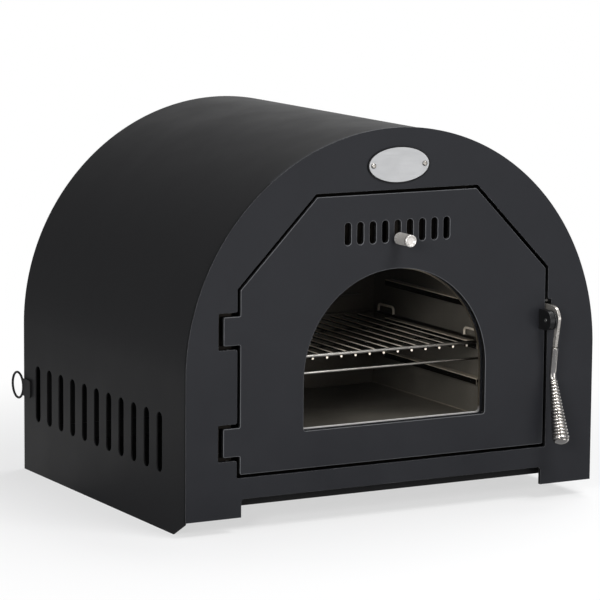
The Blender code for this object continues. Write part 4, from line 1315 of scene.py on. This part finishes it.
frame_back = -0.2251
lip_height = 0.0016
lip_depth = 0.0016
lip_outside = 0.0004
lip_gap = 0.0001
lip_edge = 0.0003
frame_screw_radius = 0.0030
frame_screw_height = 0.0016
# Painted shade: the lip darkens above its bottom run, which alone stays bright as lit.
lip_steel = shaded_along(
    brushed("lip_steel", (0.72, 0.71, 0.69), (0.84, 0.83, 0.81), 0.30, 0.38, (20, 20, 20), 20.0, 0.01, 0.6),
    "Z",
    0.124,
    0.132,
    (0.13, 0.11, 0.08),
)
frame_screw_places = (
    (-0.150, 0.1875),
    (0.150, 0.1875),
    (-0.067, 0.107),
    (0.067, 0.107),
    (-0.075, 0.3174),
    (0.075, 0.3174),
)


def make_glass():
    """Clear glass, a little dark."""
    pane, tree, shader = new_material("clear_glass")
    film = noise_node(tree, place_vector(tree), 9.0, 3.0, 0.5)
    finish = {
        "Base Color": toned(tree, film, (0.004, 0.004, 0.004), (0.008, 0.008, 0.007)),
        "Alpha": ranged(tree, film, 0.02, 0.04),
        "Roughness": 0.03,
        "Specular IOR Level": 0.12,
    }
    feed(tree, shader, finish)
    return pane


clear_glass = make_glass()
dressed(clear_glass, "window_glass")
dressed(smoked_steel, "glass_gasket")
dressed(front_coat, "glass_frame")
lip_outlines = [window_outline(lip_outside), window_outline(-lip_height)]
lip = upright("window_lip", lip_outlines, lip_depth, frame_back + lip_gap)
coated(eased(lip, lip_edge), lip_steel, "door")
frame_head = dome_screw("frame_screws", frame_screw_radius, frame_screw_height, (0, 1, 0))
frame_screws = set_fasteners(frame_head, [(x, frame_back, z) for x, z in frame_screw_places], plain_steel)
coated(frame_screws, plain_steel, "door")


# Damper and knob
# A slotted slider behind the vents hangs in two folded guides. Its stem comes out through the
# middle vent and carries a turned steel knob with a knurled grip and a dished face.

# Painted shade: the damper and its guides show near black through the vents.
dressed(smoked_steel, "damper_plate", "damper_guide_left", "damper_guide_right")
knob_base = -0.2425
knob_level = 0.3605
knob_radius = 0.0078
knob_length = 0.030
knob_groove = 0.0012
knob_groove_from_face = 0.004
knob_dish = 0.0014
knob_bevel = 0.0008
knob_bore = 0.0034
knob_bore_gap = 0.0005
knurl_start = 0.004
knurl_end = 0.022
knurl_depth = 0.00028
knurl_count = 40
knurl_rows = 44
knurl_slope = 220.0
knob_steel = brushed(
    "knob_steel", (0.66, 0.63, 0.59), (0.84, 0.81, 0.77), 0.24, 0.34, (90, 90, 90), 30.0, 0.03, 0.55
)
# Painted shade: a darker copy of the knob's steel for its face, which mirrors the bright room.
face_steel = brushed(
    "face_steel", (0.34, 0.33, 0.31), (0.50, 0.48, 0.46), 0.24, 0.34, (300, 90, 90), 30.0, 0.03
)


def make_knurl_tree():
    """A tube whose wall rises in crossed ridges."""
    sizes = {word: "Float" for word in ("radius", "length", "depth", "ridges", "slope")}
    tree, come, go = new_tree("knurl", **sizes, rows="Int", sides="Int", steel="Material")
    inputs = {"Vertices": come["sides"], "Side Segments": come["rows"]}
    inputs.update({"Radius": come["radius"], "Depth": come["length"]})
    tube = add_node(tree, "GeometryNodeMeshCylinder", inputs, fill_type="NONE").outputs["Mesh"]
    where = add_node(tree, "GeometryNodeInputPosition").outputs[0]
    parts = add_node(tree, "ShaderNodeSeparateXYZ", {0: where}).outputs
    turn = math_of(tree, "ARCTAN2", parts[1], parts[0])
    around = math_of(tree, "MULTIPLY", turn, math_of(tree, "MULTIPLY", come["ridges"], 0.5))
    rise = math_of(tree, "MULTIPLY", parts[2], math_of(tree, "MULTIPLY", come["slope"], 3.14))
    left, right = (
        math_of(tree, "ABSOLUTE", math_of(tree, "SINE", math_of(tree, way, around, rise)))
        for way in ("ADD", "SUBTRACT")
    )
    height = math_of(tree, "SUBTRACT", math_of(tree, "MINIMUM", left, right), 1.0)
    inputs = {0: add_node(tree, "GeometryNodeInputNormal").outputs[0]}
    inputs["Scale"] = math_of(tree, "MULTIPLY", height, come["depth"])
    push = add_node(tree, "ShaderNodeVectorMath", inputs, operation="SCALE").outputs[0]
    move = add_node(tree, "GeometryNodeSetPosition", {"Geometry": tube, "Offset": push}).outputs[0]
    return end_tree(tree, move, come["steel"], go)


def is_knob_face(normal):
    """A face of the knob's turned front, which mirrors the bright room and gets painted shade."""
    return normal.y < -0.9


def make_knob():
    """The turned knob with its knurled band."""
    groove = knob_length - knob_groove_from_face
    inner = knob_radius - knob_groove
    cored = knob_radius - knurl_depth
    bore_end = knob_length / 2 + knob_bore_gap
    profile = [
        (0, knob_length - knob_dish),
        (knob_radius - 2 * knob_bevel - knob_dish, knob_length - knob_dish),
        (knob_radius - 2 * knob_bevel, knob_length),
        (knob_radius - knob_bevel, knob_length),
        (knob_radius, knob_length - knob_bevel),
        (knob_radius, groove + knob_groove / 2),
        (inner, groove + knob_groove / 2),
        (inner, groove - knob_groove / 2),
        (knob_radius, groove - knob_groove / 2),
        (knob_radius, knurl_end),
        (cored, knurl_end - knurl_depth),
        (cored, knurl_start + knurl_depth),
        (knob_radius, knurl_start),
        (knob_radius, knob_bevel),
        (knob_radius - knob_bevel, 0),
        (knob_bore, 0),
        (knob_bore, bore_end),
        (0, bore_end),
    ]
    body = lathed("knob_body", profile, (0, knob_base, knob_level), (0, -1, 0), 96)
    host = bpy.data.objects.new("knob_knurl", bpy.data.meshes.new("knob_knurl"))
    host.rotation_euler = (math.pi / 2, 0, 0)
    host.location = (0, knob_base - (knurl_start + knurl_end) / 2, knob_level)
    band = run_tree(
        host,
        make_knurl_tree(),
        radius=knob_radius,
        length=knurl_end - knurl_start,
        depth=knurl_depth,
        ridges=float(knurl_count),
        slope=knurl_slope,
        rows=knurl_rows,
        sides=4 * knurl_count,
        steel=knob_steel,
    )
    knob = joined("turned_knob", [body, band])
    coated(
        knob, knob_steel, "knob", ["damper_knob"], others=((face_steel, is_knob_face),)
    )


make_knob()


# Latch on the door
# A D-shaped coated block stands on the door's right edge. A coated spacer and washer and a
# steel bolt with a socket head carry the lever beside it.

latch_y = -0.2555
latch_z = 0.242
block_left = 0.2148
block_thickness = 0.0073
block_flat = -0.2388
block_reach = 0.028
block_height = 0.026
spacer_left = 0.2224
spacer_thickness = 0.0027
spacer_radius = 0.0125
washer_left = 0.2254
washer_thickness = 0.0010
washer_radius = 0.0085
bolt_radius = 0.0025
bolt_head_radius = 0.0028
bolt_head = 0.0012
bolt_play = 0.0003
block_edge = 0.0009
lever_left = 0.2267
lever_thickness = 0.0042
latch_bore = arc((latch_y, latch_z), bolt_radius + bolt_play, 0, 348.75, 31)


def disc_profile(bore, radius, thickness, edge):
    """A flat ring with softened rims."""
    return [
        (bore, 0),
        (radius - edge, 0),
        (radius, edge),
        (radius, thickness - edge),
        (radius - edge, thickness),
        (bore, thickness),
    ]


def make_latch_mount():
    """Block, spacer, washer and bolt."""
    radius = block_height / 2
    middle = block_flat - block_reach + radius
    outline = [(block_flat, latch_z - radius), (block_flat, latch_z + radius)]
    outline += arc((middle, latch_z), radius, 90, 270, 48)
    block = sideways("latch_d_block", [outline, latch_bore], block_thickness, block_left)
    coated(eased(block, block_edge, 3), black_coat, "door", ["latch_block"])
    along = (1, 0, 0)
    for name, start, thickness, radius, edge, steps, solid in (
        ("latch_disc", spacer_left, spacer_thickness, spacer_radius, 0.0005, 64, "latch_spacer"),
        ("latch_ring", washer_left, washer_thickness, washer_radius, 0.0002, 56, "latch_washer"),
    ):
        profile = disc_profile(bolt_radius + bolt_play, radius, thickness, edge)
        disc = lathed(name, profile, (start, latch_y, latch_z), along, steps, True)
        coated(disc, black_coat, "door", [solid], 50.0)
    left = block_left - bolt_play
    length = lever_left + lever_thickness + bolt_play - left
    socket = bolt_head_radius * 0.5
    head = [(0, 0.3), (socket, 0.3), (socket, 1), (bolt_head_radius * 0.8, 1)]
    head += [(bolt_head_radius, 0.6), (bolt_head_radius, 0)]
    profile = [(radius, -bolt_head * share) for radius, share in head]
    profile += [(bolt_radius, 0), (bolt_radius, length)]
    profile += [(radius, length + bolt_head * share) for radius, share in reversed(head)]
    bolt = lathed("latch_pivot", profile, (left, latch_y, latch_z), along, 40)
    coated(bolt, plain_steel, "door", ["latch_bolt"], 30.0)


make_latch_mount()


# Latch lever and sleeve
# The lever is cut from 4 mm stainless plate with a tongue to the rear and an arm downward. A
# short bent tube is welded under the arm.

lever_head = 0.0115
arm_width = 0.0052
arm_drop = 0.0360
arm_flare = 0.0012
arm_shift = 0.0075
tongue_reach = 0.034
tongue_top = 0.0183
tongue_bottom = 0.0080
tongue_root = 0.0040
sleeve_radius = 0.0045
sleeve_drop = 0.0367
sleeve_shift = 0.0045
sleeve_neck = 0.0060
sleeve_bend_reach = 0.005
sleeve_edge = 0.0006
lever_edge = 0.0005
weld_gap = 0.0003
satin_steel = brushed(
    "satin_steel", (0.46, 0.43, 0.39), (0.62, 0.59, 0.55), 0.22, 0.32, (90, 90, 90), 30.0, 0.03, 0.7
)
grip_tilt = math.radians(15.5)
pivot = Vector((lever_left + lever_thickness / 2, latch_y, latch_z))
grip_down = Vector((0, -math.sin(grip_tilt), -math.cos(grip_tilt)))
sleeve_top = pivot + Vector(
    (
        0,
        -lever_head + arm_width / 2 + arm_shift,
        -arm_drop - arm_width / 2 * sleeve_shift / sleeve_drop - weld_gap,
    )
)
sleeve_bend = sleeve_top + Vector((0, sleeve_shift, -sleeve_drop))
grip_start = sleeve_bend + grip_down * (sleeve_neck + weld_gap)


def make_lever():
    """The flat lever, its edges broken."""
    arm_top = -lever_head + arm_width
    arm_foot = arm_top + arm_shift
    head_radius = lever_head + lever_head / 2
    outline = [(tongue_reach, tongue_bottom), (tongue_reach, tongue_top)]
    outline += arc((lever_head / 2, tongue_top - head_radius), head_radius, 90, 180, 24)
    outline += [
        (arm_foot - arm_width, -arm_drop),
        (arm_foot, -arm_drop),
        (arm_top + arm_shift * lever_head / arm_drop + arm_flare, -lever_head),
    ]
    outline += arc((0, 0), lever_head, 250, 335, 24) + [(lever_head, tongue_root)]
    outline = [(latch_y + y, latch_z + z) for y, z in outline]
    lever = sideways("latch_arm", [outline, latch_bore], lever_thickness, lever_left)
    coated(eased(lever, lever_edge, 3), satin_steel, "latch", ["latch_lever"])


def make_sleeve():
    """The bent tube under the arm."""
    points = [sleeve_top]
    first = (sleeve_top - sleeve_bend).normalized()
    bend_from = sleeve_bend + first * sleeve_bend_reach
    bend_to = sleeve_bend + grip_down * sleeve_bend_reach
    for i in range(9):
        share = i / 8
        points.append(bend_from.lerp(sleeve_bend, share).lerp(sleeve_bend.lerp(bend_to, share), share))
    points.append(sleeve_bend + grip_down * sleeve_neck)
    sleeve = bent_wire("latch_sleeve", points, sleeve_radius, bright_steel, False, 40)
    coated(eased(sleeve, sleeve_edge), bright_steel, "latch", ["handle_sleeve"], 50.0)


make_lever()
make_sleeve()


# Coil grip
# Stainless wire is wound closely on a tapered core, wider towards the end, so that the grip
# stays cool. A rounded cap closes it.

coil_length = 0.07785
coil_wire = 0.0021
coil_turns = 17.0
coil_thin = 0.0036
coil_thick = 0.0094
core_gap = 0.0002
cap_radius = 0.0106
cap_height = 0.0075
cap_edge = 0.0006


def make_coil_tree():
    """A tapered coil of round wire."""
    sizes = {word: "Float" for word in ("turns", "thick_end", "thin_end", "length")}
    tree, come, go = new_tree("coil", **sizes, steps="Int", **wire_sockets)
    inputs = {"Resolution": come["steps"], "Rotations": come["turns"], "Height": come["length"]}
    inputs.update({"Start Radius": come["thick_end"], "End Radius": come["thin_end"]})
    spiral = add_node(tree, "GeometryNodeCurveSpiral", inputs).outputs[0]
    return end_tree(tree, round_wire(tree, come, spiral), come["steel"], go)


def make_grip():
    """Core, coil and cap."""
    up = -grip_down
    foot = grip_start + grip_down * coil_length
    host = bpy.data.objects.new("grip_winding", bpy.data.meshes.new("grip_winding"))
    host.rotation_euler = Vector((0, 0, 1)).rotation_difference(up).to_euler()
    host.location = foot + up * coil_wire
    coil = run_tree(
        host,
        make_coil_tree(),
        turns=coil_turns,
        thick_end=coil_thick,
        thin_end=coil_thin,
        length=coil_length - 2 * coil_wire,
        wire_radius=coil_wire,
        steps=32,
        sides=12,
        steel=bright_steel,
    )
    wound = [coil]
    for radius, distance in ((coil_thin, coil_wire), (coil_thick, coil_length - coil_wire)):
        profile = arc((radius, distance), coil_wire, 0, 330, 11)
        wound.append(lathed("end_turn", profile, grip_start, grip_down, 48, True))
    coated(joined("grip_coil_turns", wound), bright_steel, "latch", ["grip_coil"], 60.0)
    thin = coil_thin - coil_wire - core_gap
    thick = coil_thick - coil_wire - core_gap
    profile = [(0, 0), (thin, 0), (thick, coil_length), (0, coil_length)]
    core = lathed("grip_rod", profile, grip_start, grip_down, 40)
    coated(core, plain_steel, "latch", ["grip_core"])
    profile = [(0, 0), (cap_radius - cap_edge, 0), (cap_radius, cap_edge)]
    for across, up_share in arc((0, 0), 1, 7.5, 82.5, 10):
        profile.append((cap_radius * across, cap_edge + (cap_height - cap_edge) * up_share))
    profile.append((0, cap_height))
    cap = lathed("grip_end", profile, foot + grip_down * weld_gap, grip_down, 64)
    coated(cap, bright_steel, "latch", ["grip_cap"])


make_grip()


# Keeper
# A steel foot with an ear is screwed behind the plate. The lever's tongue closes under its pin.

dressed(plain_steel, "latch_keeper")
keeper_ring_left = 0.2313
keeper_ring_width = 0.0016
keeper_ring_radius = 0.0029
keeper_pin_radius = 0.0026
keeper_ring_place = (keeper_ring_left, -0.2285, 0.2642)
ring_profile = disc_profile(keeper_pin_radius, keeper_ring_radius, keeper_ring_width, 0.0001)
keeper_ring = lathed("keeper_ring", ring_profile, keeper_ring_place, (1, 0, 0), 32, True)
coated(keeper_ring, satin_steel, "casing")
